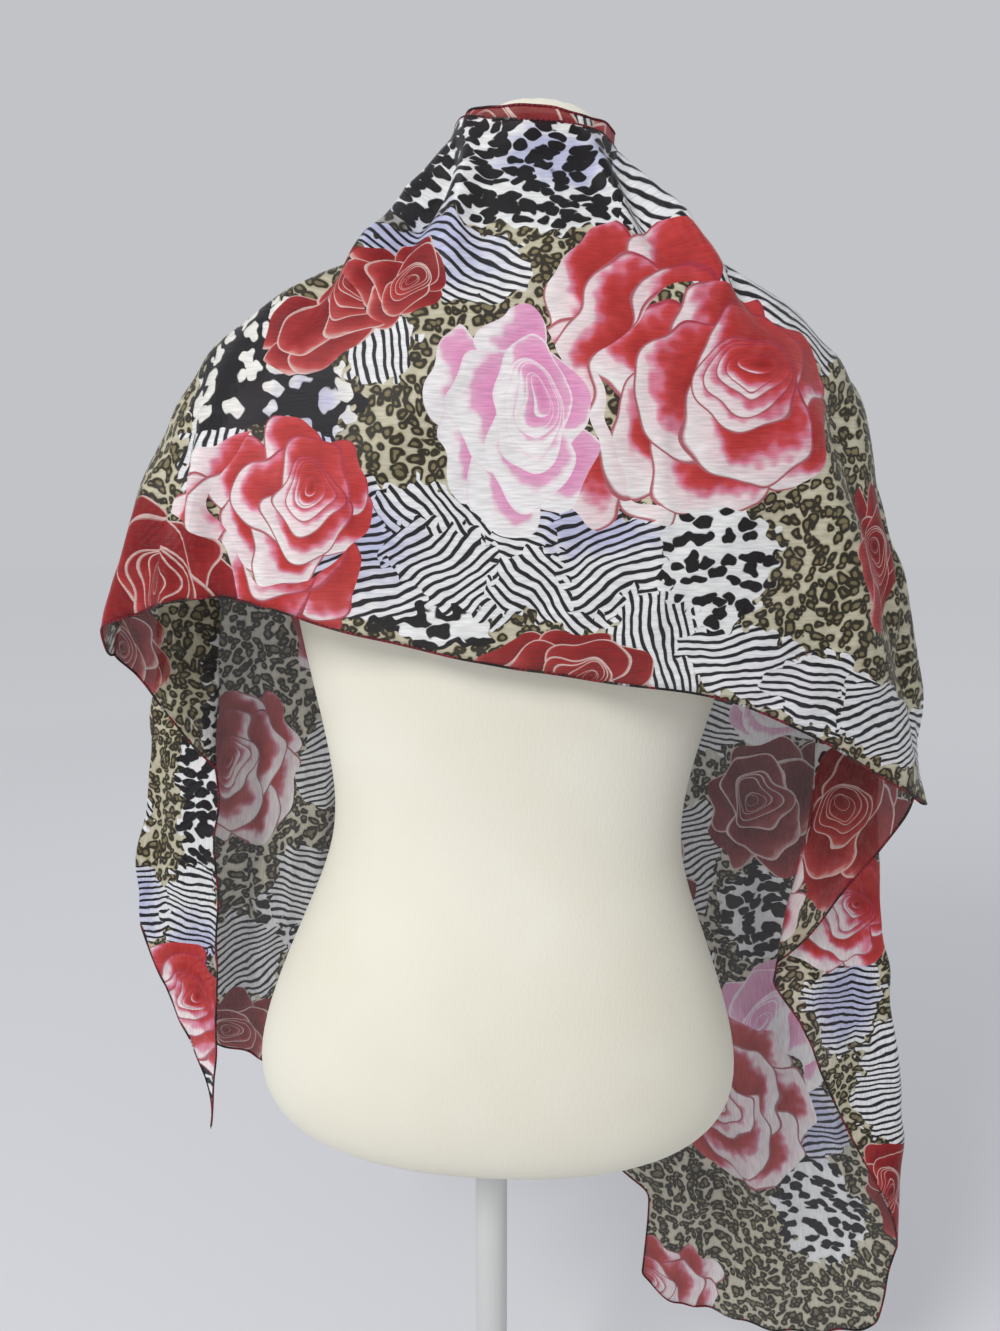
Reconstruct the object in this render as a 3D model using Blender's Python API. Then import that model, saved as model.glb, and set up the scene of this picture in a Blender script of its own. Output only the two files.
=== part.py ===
"""A printed chiffon scarf, worn as a shawl on a limbless dress form that stands on a pole and a round base.

Metres, +Z up. The origin is the middle of the base's underside, on the pole's axis. The form's back faces -Y
and its bust faces +Y, so +X is to the right of someone looking at the back. The scarf lies across the back,
goes over both shoulders and hangs down in front as two ends.
"""

import math

import bmesh
import bpy
import numpy as np
from mathutils import Matrix, Vector

# Stand
BASE_RADIUS = 0.150
BASE_THICKNESS = 0.008
BASE_EDGE_ROUNDING = 0.002
BASE_SIDES = 64
POLE_RADIUS = 0.0115
POLE_SIDES = 32
POLE_SOCKET_DEPTH = 0.005  # how far the pole is let into the base
POLE_TOP = 0.445
FIT_GAP = 0.0003  # all round the pole

# Dress form, upright before it leans on its pole
FORM_BOTTOM = 0.375
FORM_LEAN = math.radians(2.35)
FORM_SECTION_POWER = 2.25
FORM_SIDES = 36
# One row per section of the form, bottom to top: its height, half its width, and its depth behind and in front
FORM_SECTIONS = (
    # height, half_width, back, front
    (0.375, 0.095, 0.062, 0.056),
    (0.380, 0.135, 0.088, 0.078),
    (0.393, 0.157, 0.103, 0.092),
    (0.415, 0.167, 0.110, 0.100),
    (0.445, 0.164, 0.110, 0.101),
    (0.485, 0.151, 0.103, 0.096),
    (0.530, 0.133, 0.088, 0.088),
    (0.565, 0.120, 0.076, 0.081),
    (0.600, 0.116, 0.071, 0.079),
    (0.645, 0.124, 0.073, 0.083),
    (0.700, 0.139, 0.080, 0.094),
    (0.760, 0.151, 0.088, 0.109),
    (0.810, 0.158, 0.091, 0.114),
    (0.860, 0.163, 0.087, 0.100),
    (0.883, 0.159, 0.079, 0.078),
    (0.899, 0.146, 0.073, 0.064),
    (0.915, 0.120, 0.068, 0.057),
    (0.933, 0.091, 0.062, 0.052),
    (0.955, 0.064, 0.054, 0.048),
    (0.979, 0.050, 0.046, 0.045),
    (1.006, 0.0445, 0.0425, 0.043),
    (1.025, 0.0435, 0.0415, 0.042),
    (1.036, 0.036, 0.035, 0.035),
    (1.041, 0.019, 0.019, 0.019),
)

# Scarf
CLOTH_THICKNESS = 0.0012
SEAM_GAP = 0.0004
SPINE_X = 0.029  # the middle of the back at the neck
CREST_Y = 0.010  # the cloth turns from the back to the front in this plane
SECTION_POWER_HEM = 2.3
SECTION_POWER_NECK = 2.2
# One row per section round the back, hem to neck: the left crest, the middle of the back and the right crest
BACK_SECTIONS = (
    # left_x, left_z, back_y, back_z, right_x, right_z
    (-0.254, 0.702, -0.100, 0.707, 0.293, 0.602),
    (-0.244, 0.752, -0.103, 0.765, 0.280, 0.667),
    (-0.226, 0.800, -0.103, 0.825, 0.267, 0.742),
    (-0.202, 0.848, -0.099, 0.875, 0.250, 0.806),
    (-0.179, 0.884, -0.089, 0.914, 0.235, 0.866),
    (-0.134, 0.912, -0.079, 0.944, 0.202, 0.904),
    (-0.086, 0.939, -0.069, 0.968, 0.150, 0.942),
    (-0.052, 0.974, -0.061, 0.988, 0.110, 0.975),
    (-0.034, 1.007, -0.054, 1.004, 0.089, 0.995),
    (-0.022, 1.031, -0.051, 1.017, 0.080, 1.009),
)
# The back hem, crest to crest: how far across, with -1 and 1 at the crests, and the height there
BACK_HEM = (
    # across, height
    (-1.00, 0.702),
    (-0.93, 0.727),
    (-0.80, 0.742),
    (-0.66, 0.748),
    (-0.35, 0.727),
    (0.00, 0.707),
    (0.38, 0.692),
    (0.60, 0.668),
    (1.00, 0.602),
)

# In front, each side's sections run from the crest in to a pleat, out to its outer fold and in to the front edge.
# A place along a section is a number from 0 at the crest to 1 at the front edge.
INNER_FOLD = 0.20
OUTER_FOLD = 0.40
MIDDLE = 0.70
PLEAT_DEPTHS = (0.0, 0.29, 0.58, 0.85, 1.0)  # how far forward the crest, folds, middle and edge lie
PLEAT_TOP = 0.900  # the pleat fades out between these two heights
PLEAT_FULL = 0.740
FRONT_POWER = 2.1
# How far forward the front edges lie at each height
FRONT_DEPTHS = (
    # height, front_y
    (0.10, 0.112),
    (0.40, 0.120),
    (0.70, 0.127),
    (0.82, 0.127),
    (0.87, 0.113),
    (0.90, 0.094),
    (0.93, 0.074),
    (0.97, 0.060),
    (1.04, 0.0475),
)
# The lines that the left side's folds and front edge follow, bottom to top
LEFT_FOLDS = (
    # height, inner_fold_x, outer_fold_x, edge_x
    (0.330, -0.216, -0.260, -0.052),
    (0.390, -0.208, -0.270, -0.050),
    (0.510, -0.203, -0.273, -0.046),
    (0.590, -0.200, -0.262, -0.042),
    (0.652, -0.198, -0.254, -0.038),
    (0.800, -0.186, -0.232, -0.028),
    (0.900, -0.160, -0.180, -0.018),
    (1.040, -0.018, -0.012, 0.008),
)
RIGHT_FOLDS = (
    # height, inner_fold_x, outer_fold_x, edge_x
    (0.110, 0.216, 0.322, 0.126),
    (0.218, 0.216, 0.326, 0.134),
    (0.240, 0.216, 0.326, 0.114),
    (0.262, 0.216, 0.324, 0.088),
    (0.310, 0.216, 0.319, 0.062),
    (0.440, 0.217, 0.307, 0.048),
    (0.560, 0.226, 0.294, 0.050),
    (0.640, 0.232, 0.287, 0.056),
    (0.800, 0.224, 0.262, 0.066),
    (0.900, 0.200, 0.214, 0.066),
    (1.040, 0.070, 0.065, 0.050),
)
# Each side's lower hem, from the crest along its turn to the inner fold
LEFT_TURN_HEM = (
    # place, height
    (0.00, 0.702),
    (0.05, 0.688),
    (0.10, 0.656),
    (0.15, 0.626),
    (0.20, 0.612),
)
RIGHT_TURN_HEM = (
    # place, height
    (0.00, 0.602),
    (0.05, 0.572),
    (0.10, 0.531),
    (0.15, 0.487),
    (0.20, 0.465),
)
# Each side's bottom, from the inner fold round the outer fold to the front edge
LEFT_FALL_HEM = (
    # place, height
    (0.20, 0.330),
    (0.25, 0.364),
    (0.32, 0.427),
    (0.40, 0.482),
    (0.48, 0.424),
    (0.58, 0.366),
    (0.70, 0.355),
    (1.00, 0.368),
)
RIGHT_FALL_HEM = (
    # place, height
    (0.20, 0.452),
    (0.25, 0.418),
    (0.30, 0.345),
    (0.36, 0.250),
    (0.41, 0.190),
    (0.45, 0.130),
    (0.55, 0.111),
    (0.70, 0.112),
    (0.90, 0.122),
    (1.00, 0.146),
)
# Soft folds that hang in the ends: where along the section, how wide, how far forward, and the heights between
LEFT_SOFT_FOLDS = (
    # place, half_width, forward, bottom, top
    (0.52, 0.045, 0.007, 0.30, 0.78),
    (0.64, 0.050, -0.009, 0.25, 0.84),
    (0.78, 0.060, 0.006, 0.25, 0.76),
    (0.91, 0.055, -0.006, 0.20, 0.72),
)
RIGHT_SOFT_FOLDS = (
    # place, half_width, forward, bottom, top
    (0.53, 0.050, 0.006, 0.00, 0.74),
    (0.67, 0.060, -0.008, 0.00, 0.80),
    (0.81, 0.055, 0.007, 0.00, 0.70),
    (0.93, 0.050, -0.005, 0.00, 0.60),
)
NECK_EDGE_FRONT = 0.986  # how high the front edges reach

# The border turned in at the back of the neck
TURN_TOP = 1.026
TURN_BOTTOM = 1.004
TURN_TILT = 0.06  # how much lower its top is to the right, for each unit across
TURN_CLEARANCE = 0.0030  # from the form's neck
TURN_ARC = math.radians(140)

# Faces along each piece of cloth
ROWS = 15  # hem to neck
LOWER_ROWS = 9  # in the ends, below the back's hem
BACK_COLUMNS = 36
PLEAT_COLUMNS = 8  # across each leg of a pleat
FRONT_COLUMNS = 14  # from the outer fold to the front edge
NECK_COLUMNS = 14
CREST_SAMPLES = 400

COLOURS = {
    "chiffon": (0.36, 0.30, 0.25),
    "form_shell": (0.86, 0.84, 0.73),
    "pole_paint": (0.66, 0.66, 0.65),
    "base_paint": (0.62, 0.62, 0.61),
}


def clear_scene():
    for old in list(bpy.data.objects):
        bpy.data.objects.remove(old, do_unlink=True)


def material(name, roughness):
    """A plain material in one of the named colours."""
    made = bpy.data.materials.get(name) or bpy.data.materials.new(name)
    made.use_nodes = True
    shader = made.node_tree.nodes["Principled BSDF"]
    shader.inputs["Base Color"].default_value = (*COLOURS[name], 1.0)
    shader.inputs["Roughness"].default_value = roughness
    shader.inputs["Metallic"].default_value = 0.0
    return made


def add_object(name, mesh, finish):
    made = bpy.data.objects.new(name, mesh)
    bpy.context.collection.objects.link(made)
    mesh.materials.append(finish)
    return made


def through(stations, values, at, level_start=False):
    """A smooth curve through values at rising stations, which never swings past them.

    values holds a row per station and may be an array in its other axes, shaped like at."""
    stations = np.asarray(stations, float)
    at = np.clip(np.asarray(at, float), stations[0], stations[-1])
    values = np.asarray(values, float)
    if values.ndim == 1:
        values = values.reshape(-1, *(1,) * at.ndim)
    values = np.broadcast_to(values, (len(stations), *at.shape))
    step = np.diff(stations).reshape(-1, *(1,) * at.ndim)
    rise = np.diff(values, axis=0) / step
    slope = np.empty_like(values)
    slope[0] = 0.0 if level_start else rise[0]
    slope[-1] = rise[-1]
    before, after = rise[:-1], rise[1:]
    same_way = before * after > 0
    total = np.where(same_way, before + after, 1.0)
    slope[1:-1] = np.where(same_way, 2 * before * after / total, 0.0)
    k = np.clip(np.searchsorted(stations, at, side="right") - 1, 0, len(stations) - 2)
    width = np.diff(stations)[k]
    t = (at - stations[k]) / width

    def pick(source, row):
        return np.take_along_axis(source, row[None], axis=0)[0]

    low, high = pick(values, k), pick(values, k + 1)
    start, end = pick(slope, k) * width, pick(slope, k + 1) * width
    return (
        low * (1 + 2 * t) * (1 - t) ** 2
        + start * t * (1 - t) ** 2
        + high * t * t * (3 - 2 * t)
        - end * t * t * (1 - t)
    )


def column(table, number):
    return [row[number] for row in table]


def fade(value, start, end):
    """Goes smoothly from 0 at start to 1 at end."""
    t = np.clip((value - start) / (end - start), 0.0, 1.0)
    return t * t * (3 - 2 * t)


def rounded(share, power):
    """The other coordinate of a unit superellipse."""
    return np.clip(1 - np.abs(share) ** power, 0.0, 1.0) ** (1 / power)


def back_points(across, up):
    """Points on the back panel. across goes from -1 at the left crest to 1 at the right one, up from hem to neck."""
    stations = np.linspace(0, 1, len(BACK_SECTIONS))
    left_x, left_z, back_y, back_z, right_x, right_z = (
        through(stations, column(BACK_SECTIONS, n), up) for n in range(6)
    )
    on_left = across < 0
    side_x = np.where(on_left, SPINE_X - left_x, right_x - SPINE_X)
    side_z = np.where(on_left, left_z, right_z)
    droop = np.abs(across) ** 2.5
    hem = through(column(BACK_HEM, 0), column(BACK_HEM, 1), across)
    hem_side = np.where(on_left, BACK_SECTIONS[0][1], BACK_SECTIONS[0][5])
    plain_hem = BACK_SECTIONS[0][3] + (hem_side - BACK_SECTIONS[0][3]) * droop
    power = SECTION_POWER_HEM + (SECTION_POWER_NECK - SECTION_POWER_HEM) * up
    x = SPINE_X + side_x * across
    y = CREST_Y + (back_y - CREST_Y) * rounded(across, power)
    z = back_z + (side_z - back_z) * droop + (hem - plain_hem) * (1 - up) ** 2
    return np.stack([x, y, z], axis=-1)


def crest(side, up):
    """Where the cloth turns from the back to the front, on the left or right: x and height, from hem to neck."""
    stations = np.linspace(0, 1, len(BACK_SECTIONS))
    x, z = (0, 1) if side < 0 else (4, 5)
    return (through(stations, column(BACK_SECTIONS, n), up) for n in (x, z))


def crest_x(side, height):
    """The crest's x at a height, straight down from the hem."""
    up = np.linspace(0, 1, CREST_SAMPLES)
    _, heights = crest(side, up)
    x, _ = crest(side, np.interp(height, heights, up))
    return x


def front_points(side, place, height):
    """Points on a side's front, place along its section and at a height. side is -1 on the left, 1 on the right."""
    folds = LEFT_FOLDS if side < 0 else RIGHT_FOLDS
    soft_folds = LEFT_SOFT_FOLDS if side < 0 else RIGHT_SOFT_FOLDS
    inner, outer, edge = (through(column(folds, 0), column(folds, n), height) for n in (1, 2, 3))
    crest_line = crest_x(side, height)
    front = through(column(FRONT_DEPTHS, 0), column(FRONT_DEPTHS, 1), height)
    pleat = fade(height, PLEAT_TOP, PLEAT_FULL)
    places = (0.0, INNER_FOLD, OUTER_FOLD, MIDDLE, 1.0)
    folded_x = (crest_line, inner, outer, (outer + edge) / 2, edge)
    lines_x = []
    lines_y = []
    for where, fold_x, depth in zip(places, folded_x, PLEAT_DEPTHS):
        turn = where * math.pi / 2
        plain_x = edge + (crest_line - edge) * max(math.cos(turn), 0.0) ** (2 / FRONT_POWER)
        plain_depth = math.sin(turn) ** (2 / FRONT_POWER)
        lines_x.append(plain_x + (fold_x - plain_x) * pleat)
        lines_y.append(CREST_Y + (front - CREST_Y) * (plain_depth + (depth - plain_depth) * pleat))
    x = through(places, lines_x, place, level_start=True)
    y = through(places, lines_y, place)
    for where, half_width, forward, bottom, top in soft_folds:
        across = np.clip(1 - np.abs(place - where) / half_width, 0, 1)
        strength = fade(height, top, top - 0.18) * fade(height, bottom - 0.05, bottom + 0.05)
        y = y + forward * across * across * (3 - 2 * across) * strength
    return np.stack([x, y, height + 0 * x], axis=-1)


def front_levels(side, place, low):
    """Heights from low up to the neck's edge at each place, a row per level, which meet the back's at the crest."""
    _, crest_heights = crest(side, np.linspace(0, 1, ROWS + 1))
    share = (crest_heights - crest_heights[0]) / (crest_heights[-1] - crest_heights[0])
    high = crest_heights[-1] + (NECK_EDGE_FRONT - crest_heights[-1]) * fade(place, 0.0, 1.0)
    return low + (high - low) * share[:, None]


def crowded(start, end, faces):
    """Places that crowd towards both ends, where the cloth bends most."""
    return start + (end - start) * (1 - np.cos(np.linspace(0, math.pi, faces + 1))) / 2


def turn_grid(side, hem):
    """Points from the crest to the inner fold, a row per level."""
    place = crowded(0.0, INNER_FOLD, PLEAT_COLUMNS)
    height = front_levels(side, place, through(column(hem, 0), column(hem, 1), place))
    return front_points(side, np.broadcast_to(place, height.shape), height)


def fall_grid(side, turn_hem, hem):
    """Points from the inner fold to the front edge. Above the turn's hem its rows meet the turn's."""
    front = crowded(OUTER_FOLD, 2 - OUTER_FOLD, 2 * FRONT_COLUMNS)[: FRONT_COLUMNS + 1]
    place = np.concatenate([crowded(INNER_FOLD, OUTER_FOLD, PLEAT_COLUMNS)[:-1], front])
    low = through(column(hem, 0), column(hem, 1), place)
    middle = turn_hem[-1][1] + 0 * place
    lower = low + (middle - low) * (np.arange(LOWER_ROWS) / LOWER_ROWS)[:, None]
    height = np.vstack([lower, front_levels(side, place, middle)])
    return front_points(side, np.broadcast_to(place, height.shape), height)


def unit(vectors):
    return vectors / np.linalg.norm(vectors, axis=-1, keepdims=True)


def open_seam(points, at_start):
    """Draws a piece's side edge back, square to the seam, by half the gap that it keeps to its neighbour."""
    edge, inside = (points[:, 0], points[:, 1]) if at_start else (points[:, -1], points[:, -2])
    seam = unit(np.gradient(edge, axis=0))
    inward = inside - edge
    inward -= seam * np.sum(inward * seam, axis=-1, keepdims=True)
    edge += unit(inward) * SEAM_GAP / 2


def cloth_wall(name, points, finish):
    """A closed wall of cloth on a grid of points, a row per level and a column per place."""
    rows, columns = points.shape[:2]
    mesh = bpy.data.meshes.new(name)
    faces = [
        (r * columns + c, r * columns + c + 1, (r + 1) * columns + c + 1, (r + 1) * columns + c)
        for r in range(rows - 1)
        for c in range(columns - 1)
    ]
    mesh.from_pydata([tuple(p) for p in points.reshape(-1, 3)], [], faces)
    mesh.shade_smooth()
    made = add_object(name, mesh, finish)
    wall = made.modifiers.new("Wall", "SOLIDIFY")
    wall.thickness = CLOTH_THICKNESS
    wall.offset = 0.0
    wall.use_even_offset = True
    return made


def form_section(height):
    """Half width, depth behind and depth in front of the upright form at a height."""
    heights = column(FORM_SECTIONS, 0)
    return tuple(float(through(heights, column(FORM_SECTIONS, n), height)) for n in (1, 2, 3))


def form_ring(height, turns, grow=0.0):
    """Points round the upright form at a height, at these angles and moved out by grow."""
    half_width, back, front = form_section(height)
    ring = []
    for turn in turns:
        c, s = math.cos(turn), math.sin(turn)
        depth = back if s < 0 else front
        x = math.copysign(abs(c) ** (2 / FORM_SECTION_POWER), c)
        y = math.copysign(abs(s) ** (2 / FORM_SECTION_POWER), s)
        ring.append(Vector(((half_width + grow) * x, (depth + grow) * y, height)))
    return ring


def form_pose():
    """Leans the upright form over on its pole."""
    pivot = Matrix.Translation((0.003, 0.0, FORM_BOTTOM))
    return pivot @ Matrix.Rotation(FORM_LEAN, 4, "Y") @ Matrix.Translation((0.0, 0.0, -FORM_BOTTOM))


def cylinder(name, radius, bottom, top, sides):
    """The mesh of an upright cylinder on the pole's axis."""
    mesh = bpy.data.meshes.new(name)
    shape = bmesh.new()
    bmesh.ops.create_cone(
        shape,
        cap_ends=True,
        segments=sides,
        radius1=radius,
        radius2=radius,
        depth=top - bottom,
        matrix=Matrix.Translation((0, 0, (top + bottom) / 2)),
    )
    shape.to_mesh(mesh)
    shape.free()
    mesh.shade_smooth()
    mesh.set_sharp_from_angle(angle=math.radians(40))
    return mesh


def cut_pole_hole(piece, bottom, top):
    """Cuts the hole that the pole stands in, with a gap all round it."""
    cutter = bpy.data.objects.new("pole_hole", cylinder("pole_hole", POLE_RADIUS + FIT_GAP, bottom, top, POLE_SIDES))
    bpy.context.collection.objects.link(cutter)
    cutter.hide_render = True
    cutter.display_type = "WIRE"
    hole = piece.modifiers.new("Pole hole", "BOOLEAN")
    hole.operation = "DIFFERENCE"
    hole.solver = "EXACT"
    hole.object = cutter


def build_base():
    """A round plate with a rounded edge and a shallow socket for the pole."""
    plate = cylinder("stand_base", BASE_RADIUS, 0.0, BASE_THICKNESS, BASE_SIDES)
    base = add_object("stand_base", plate, material("base_paint", 0.5))
    edge = base.modifiers.new("Rounded edge", "BEVEL")
    edge.width = BASE_EDGE_ROUNDING
    edge.segments = 3
    edge.limit_method = "ANGLE"
    cut_pole_hole(base, BASE_THICKNESS - POLE_SOCKET_DEPTH, BASE_THICKNESS * 2)


def build_pole():
    bottom = BASE_THICKNESS - POLE_SOCKET_DEPTH + FIT_GAP
    add_object("stand_pole", cylinder("stand_pole", POLE_RADIUS, bottom, POLE_TOP, POLE_SIDES),
               material("pole_paint", 0.35))


def build_form():
    """The torso and neck as one whole, lofted from its sections, with a hole for the pole."""
    heights = column(FORM_SECTIONS, 0)
    mesh = bpy.data.meshes.new("form_torso")
    shape = bmesh.new()
    turns = np.arange(FORM_SIDES) * 2 * math.pi / FORM_SIDES
    rings = [[shape.verts.new(point) for point in form_ring(height, turns)] for height in heights]
    for lower, upper in zip(rings, rings[1:]):
        for n in range(FORM_SIDES):
            following = (n + 1) % FORM_SIDES
            shape.faces.new((lower[n], lower[following], upper[following], upper[n]))
    shape.faces.new(list(reversed(rings[0])))
    shape.faces.new(rings[-1])
    bmesh.ops.transform(shape, matrix=form_pose(), verts=shape.verts)
    shape.to_mesh(mesh)
    shape.free()
    mesh.shade_smooth()
    form = add_object("form_torso", mesh, material("form_shell", 0.6))
    cut_pole_hole(form, FORM_BOTTOM - BASE_THICKNESS, POLE_TOP + FIT_GAP)


def build_back(finish):
    turn = np.linspace(-math.pi / 2, math.pi / 2, BACK_COLUMNS + 1)
    across = np.sin(turn)
    up = np.linspace(0, 1, ROWS + 1)
    across, up = np.broadcast_arrays(across, up[:, None])
    points = back_points(across, up)
    open_seam(points, at_start=True)
    open_seam(points, at_start=False)
    return cloth_wall("scarf_back", points, finish)


def build_side(side, name, turn_hem, fall_hem, finish):
    """A side's turn, from the crest to the inner fold, and its fall, from there to the front edge."""
    turn = turn_grid(side, turn_hem)
    fall = fall_grid(side, turn_hem, fall_hem)
    open_seam(turn, at_start=True)
    open_seam(turn, at_start=False)
    open_seam(fall, at_start=True)
    cloth_wall(f"scarf_{name}_turn", turn, finish)
    cloth_wall(f"scarf_{name}_fall", fall, finish)


def build_neck_turn(finish):
    """The border that is turned in and stands round the back of the form's neck."""
    heights = (TURN_BOTTOM, (TURN_BOTTOM + TURN_TOP) / 2, TURN_TOP)
    turns = np.linspace(-TURN_ARC / 2, TURN_ARC / 2, NECK_COLUMNS + 1) - math.pi / 2
    pose = form_pose()
    points = np.array([
        [pose @ point for point in form_ring(height, turns, TURN_CLEARANCE)] for height in heights
    ])
    points[..., 2] -= (points[..., 0] - SPINE_X) * TURN_TILT
    return cloth_wall("scarf_neck_turn", points, finish)


def build():
    clear_scene()
    chiffon = material("chiffon", 0.7)
    build_base()
    build_pole()
    build_form()
    build_back(chiffon)
    build_side(-1, "left", LEFT_TURN_HEM, LEFT_FALL_HEM, chiffon)
    build_side(1, "right", RIGHT_TURN_HEM, RIGHT_FALL_HEM, chiffon)
    build_neck_turn(chiffon)


build()
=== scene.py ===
# %% [markdown]
# # A printed chiffon scarf on a dress form
#
# The object is a long, see-through scarf that is worn like a shawl. It lies across the back of a dress form,
# goes over both shoulders and hangs down in front as two ends. The form is a torso without arms or legs, and
# it stands on a pole in a round base.
#
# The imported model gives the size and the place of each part. This script starts from it, keeps the stand,
# and makes the form smoother and the cloth fine enough to show its folds, its rolled hem and its print.

# %% Load the model
import math

import bpy
import numpy as np
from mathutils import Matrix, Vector


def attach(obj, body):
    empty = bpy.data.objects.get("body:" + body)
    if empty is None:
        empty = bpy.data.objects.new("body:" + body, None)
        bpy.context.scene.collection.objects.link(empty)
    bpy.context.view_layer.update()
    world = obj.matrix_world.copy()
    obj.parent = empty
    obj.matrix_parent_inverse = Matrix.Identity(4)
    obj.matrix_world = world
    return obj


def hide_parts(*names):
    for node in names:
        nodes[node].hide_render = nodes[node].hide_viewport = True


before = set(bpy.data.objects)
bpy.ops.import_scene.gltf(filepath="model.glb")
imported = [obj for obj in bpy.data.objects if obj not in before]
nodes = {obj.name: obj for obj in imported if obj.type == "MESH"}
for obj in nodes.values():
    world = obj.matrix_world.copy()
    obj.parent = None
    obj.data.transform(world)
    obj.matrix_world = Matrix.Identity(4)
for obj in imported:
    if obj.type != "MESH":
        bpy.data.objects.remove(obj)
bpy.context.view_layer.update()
print("parts:", sorted(nodes))

# %% [markdown]
# ## The camera
#
# The camera stands close behind the form, a little above its middle, and looks slightly down. It stands
# close, so its lens is a wide one. The colours are shown as they are, without a film look.

# %% Camera
camera = bpy.data.objects.new("camera", bpy.data.cameras.new("camera"))
bpy.context.collection.objects.link(camera)
camera.location = (0.0063, -0.66, 0.80)
camera.rotation_euler = (math.radians(81), 0, 0)
camera.data.lens = 27.07
camera.data.sensor_width = 36
bpy.context.scene.camera = camera
bpy.context.scene.view_settings.view_transform = "Standard"
print("field of view, degrees:", round(math.degrees(camera.data.angle)))

# %% [markdown]
# ## Colours and nodes
#
# A colour is easiest to name as a hex value, as a paint chart does. Blender's shaders count light, so each
# hex value is turned into an amount of light first. The second function adds one shader node. It takes the
# node's settings by name and its inputs by name or number, as a value or as another node's output. A colour
# ramp also takes its stops. The third starts an empty material.

# %% Functions for materials
def light_of(hex_colour):
    """The amount of red, green and blue light in a colour, with 1.0 for its last value."""
    parts = [int(hex_colour[n:n + 2], 16) / 255 for n in (1, 3, 5)]
    return (*(p / 12.92 if p <= 0.04045 else ((p + 0.055) / 1.055) ** 2.4 for p in parts), 1.0)


def add(tree, kind, inputs=(), stops=(), **settings):
    """Adds a node to a tree, joins or sets its inputs, and places its colour stops if it has any."""
    node = tree.nodes.new(kind)
    for name, value in settings.items():
        setattr(node, name, value)
    for name, value in dict(inputs).items():
        if isinstance(value, bpy.types.Node):
            value = value.outputs[0]
        if isinstance(value, bpy.types.NodeSocket):
            tree.links.new(value, node.inputs[name])
        else:
            node.inputs[name].default_value = value
    for number, (position, hex_colour) in enumerate(stops):
        ramp = node.color_ramp.elements
        stop = ramp[number] if number < 2 else ramp.new(position)
        stop.position = position
        stop.color = light_of(hex_colour)
    return node


def new_material(name):
    """An empty material with an output, and its node tree."""
    made = bpy.data.materials.new(name)
    made.use_nodes = True
    made.node_tree.nodes.clear()
    return made, made.node_tree


print("mid grey gives", round(light_of("#808080")[0], 3))

# %% [markdown]
# ## The floor
#
# The form stands on a pale matt floor that runs on past the edge of the view, with nothing behind it. A
# disc is added and inset once, so its middle has faces of its own. Its paint is a little greyer in the
# middle, where the lamps are near, so that it looks one tone all over.

# %% Pale floor
bpy.ops.object.select_all(action="DESELECT")
bpy.ops.mesh.primitive_circle_add(vertices=96, radius=14, fill_type="NGON", location=(0, 0, 0))
floor = bpy.context.object
floor.name = "floor"
bpy.ops.object.mode_set(mode="EDIT")
bpy.ops.mesh.select_mode(type="FACE")
bpy.ops.mesh.select_all(action="SELECT")
bpy.ops.mesh.inset(thickness=11)
bpy.ops.object.mode_set(mode="OBJECT")
matt, tree = new_material("floor_paint_matt")
place = add(tree, "ShaderNodeTexCoord")
from_middle = add(tree, "ShaderNodeVectorMath", {0: place.outputs["Object"]}, operation="LENGTH")
far_off = add(tree, "ShaderNodeMapRange", {0: from_middle.outputs["Value"], 1: 0.3, 2: 4.0},
              interpolation_type="SMOOTHSTEP")
tone = add(tree, "ShaderNodeMix", {0: far_off, 6: light_of("#E2E3E6"), 7: light_of("#FDFDFE")},
           data_type="RGBA")
shader = add(tree, "ShaderNodeBsdfPrincipled",
             {"Base Color": tone.outputs[2], "Roughness": 1.0, "Specular IOR Level": 0.0})
add(tree, "ShaderNodeOutputMaterial", {"Surface": shader})
floor.data.materials.append(matt)
print("floor, m across:", round(max(floor.dimensions), 1))

# %% [markdown]
# ## Soft light
#
# One large light hangs high behind the camera on the left, and weaker ones fill from the right and the
# front. Big lights give soft shadows, which thin cloth needs to show its folds. The rest of the light comes
# from the pale surroundings.

# %% Lights
LIGHTS = (
    # name, place, size, watts
    ("key", (-1.00, -1.45, 1.80), 0.7, 26),
    ("fill", (1.50, -1.30, 1.30), 0.9, 1),
    ("front", (-0.30, 1.90, 1.80), 1.0, 4),
)
for name, place, size, watts in LIGHTS:
    lamp = bpy.data.objects.new(name, bpy.data.lights.new(name, "AREA"))
    bpy.context.collection.objects.link(lamp)
    lamp.data.shape = "DISK"
    lamp.data.size = size
    lamp.data.energy = watts
    lamp.location = place
    lamp.rotation_euler = (Vector((0, 0, 0.75)) - Vector(place)).to_track_quat("-Z", "Y").to_euler()
world = bpy.data.worlds.new("studio")
world.use_nodes = True
world.node_tree.nodes["Background"].inputs["Color"].default_value = light_of("#D1D3D7")
world.node_tree.nodes["Background"].inputs["Strength"].default_value = 0.84
bpy.context.scene.world = world
print("lights:", len(LIGHTS))

# %% [markdown]
# ## The dress form
#
# A display form is a hard shell with a knitted cover pulled tight over it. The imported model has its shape
# as a net of flat faces. A copy of it is joined up at its corners and subdivided, which rounds those faces
# off. The edges of the hole for the pole are creased first, so the hole keeps its size. The cap on the neck
# still has a flat spot afterwards, so its corners are smoothed towards each other.

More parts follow.
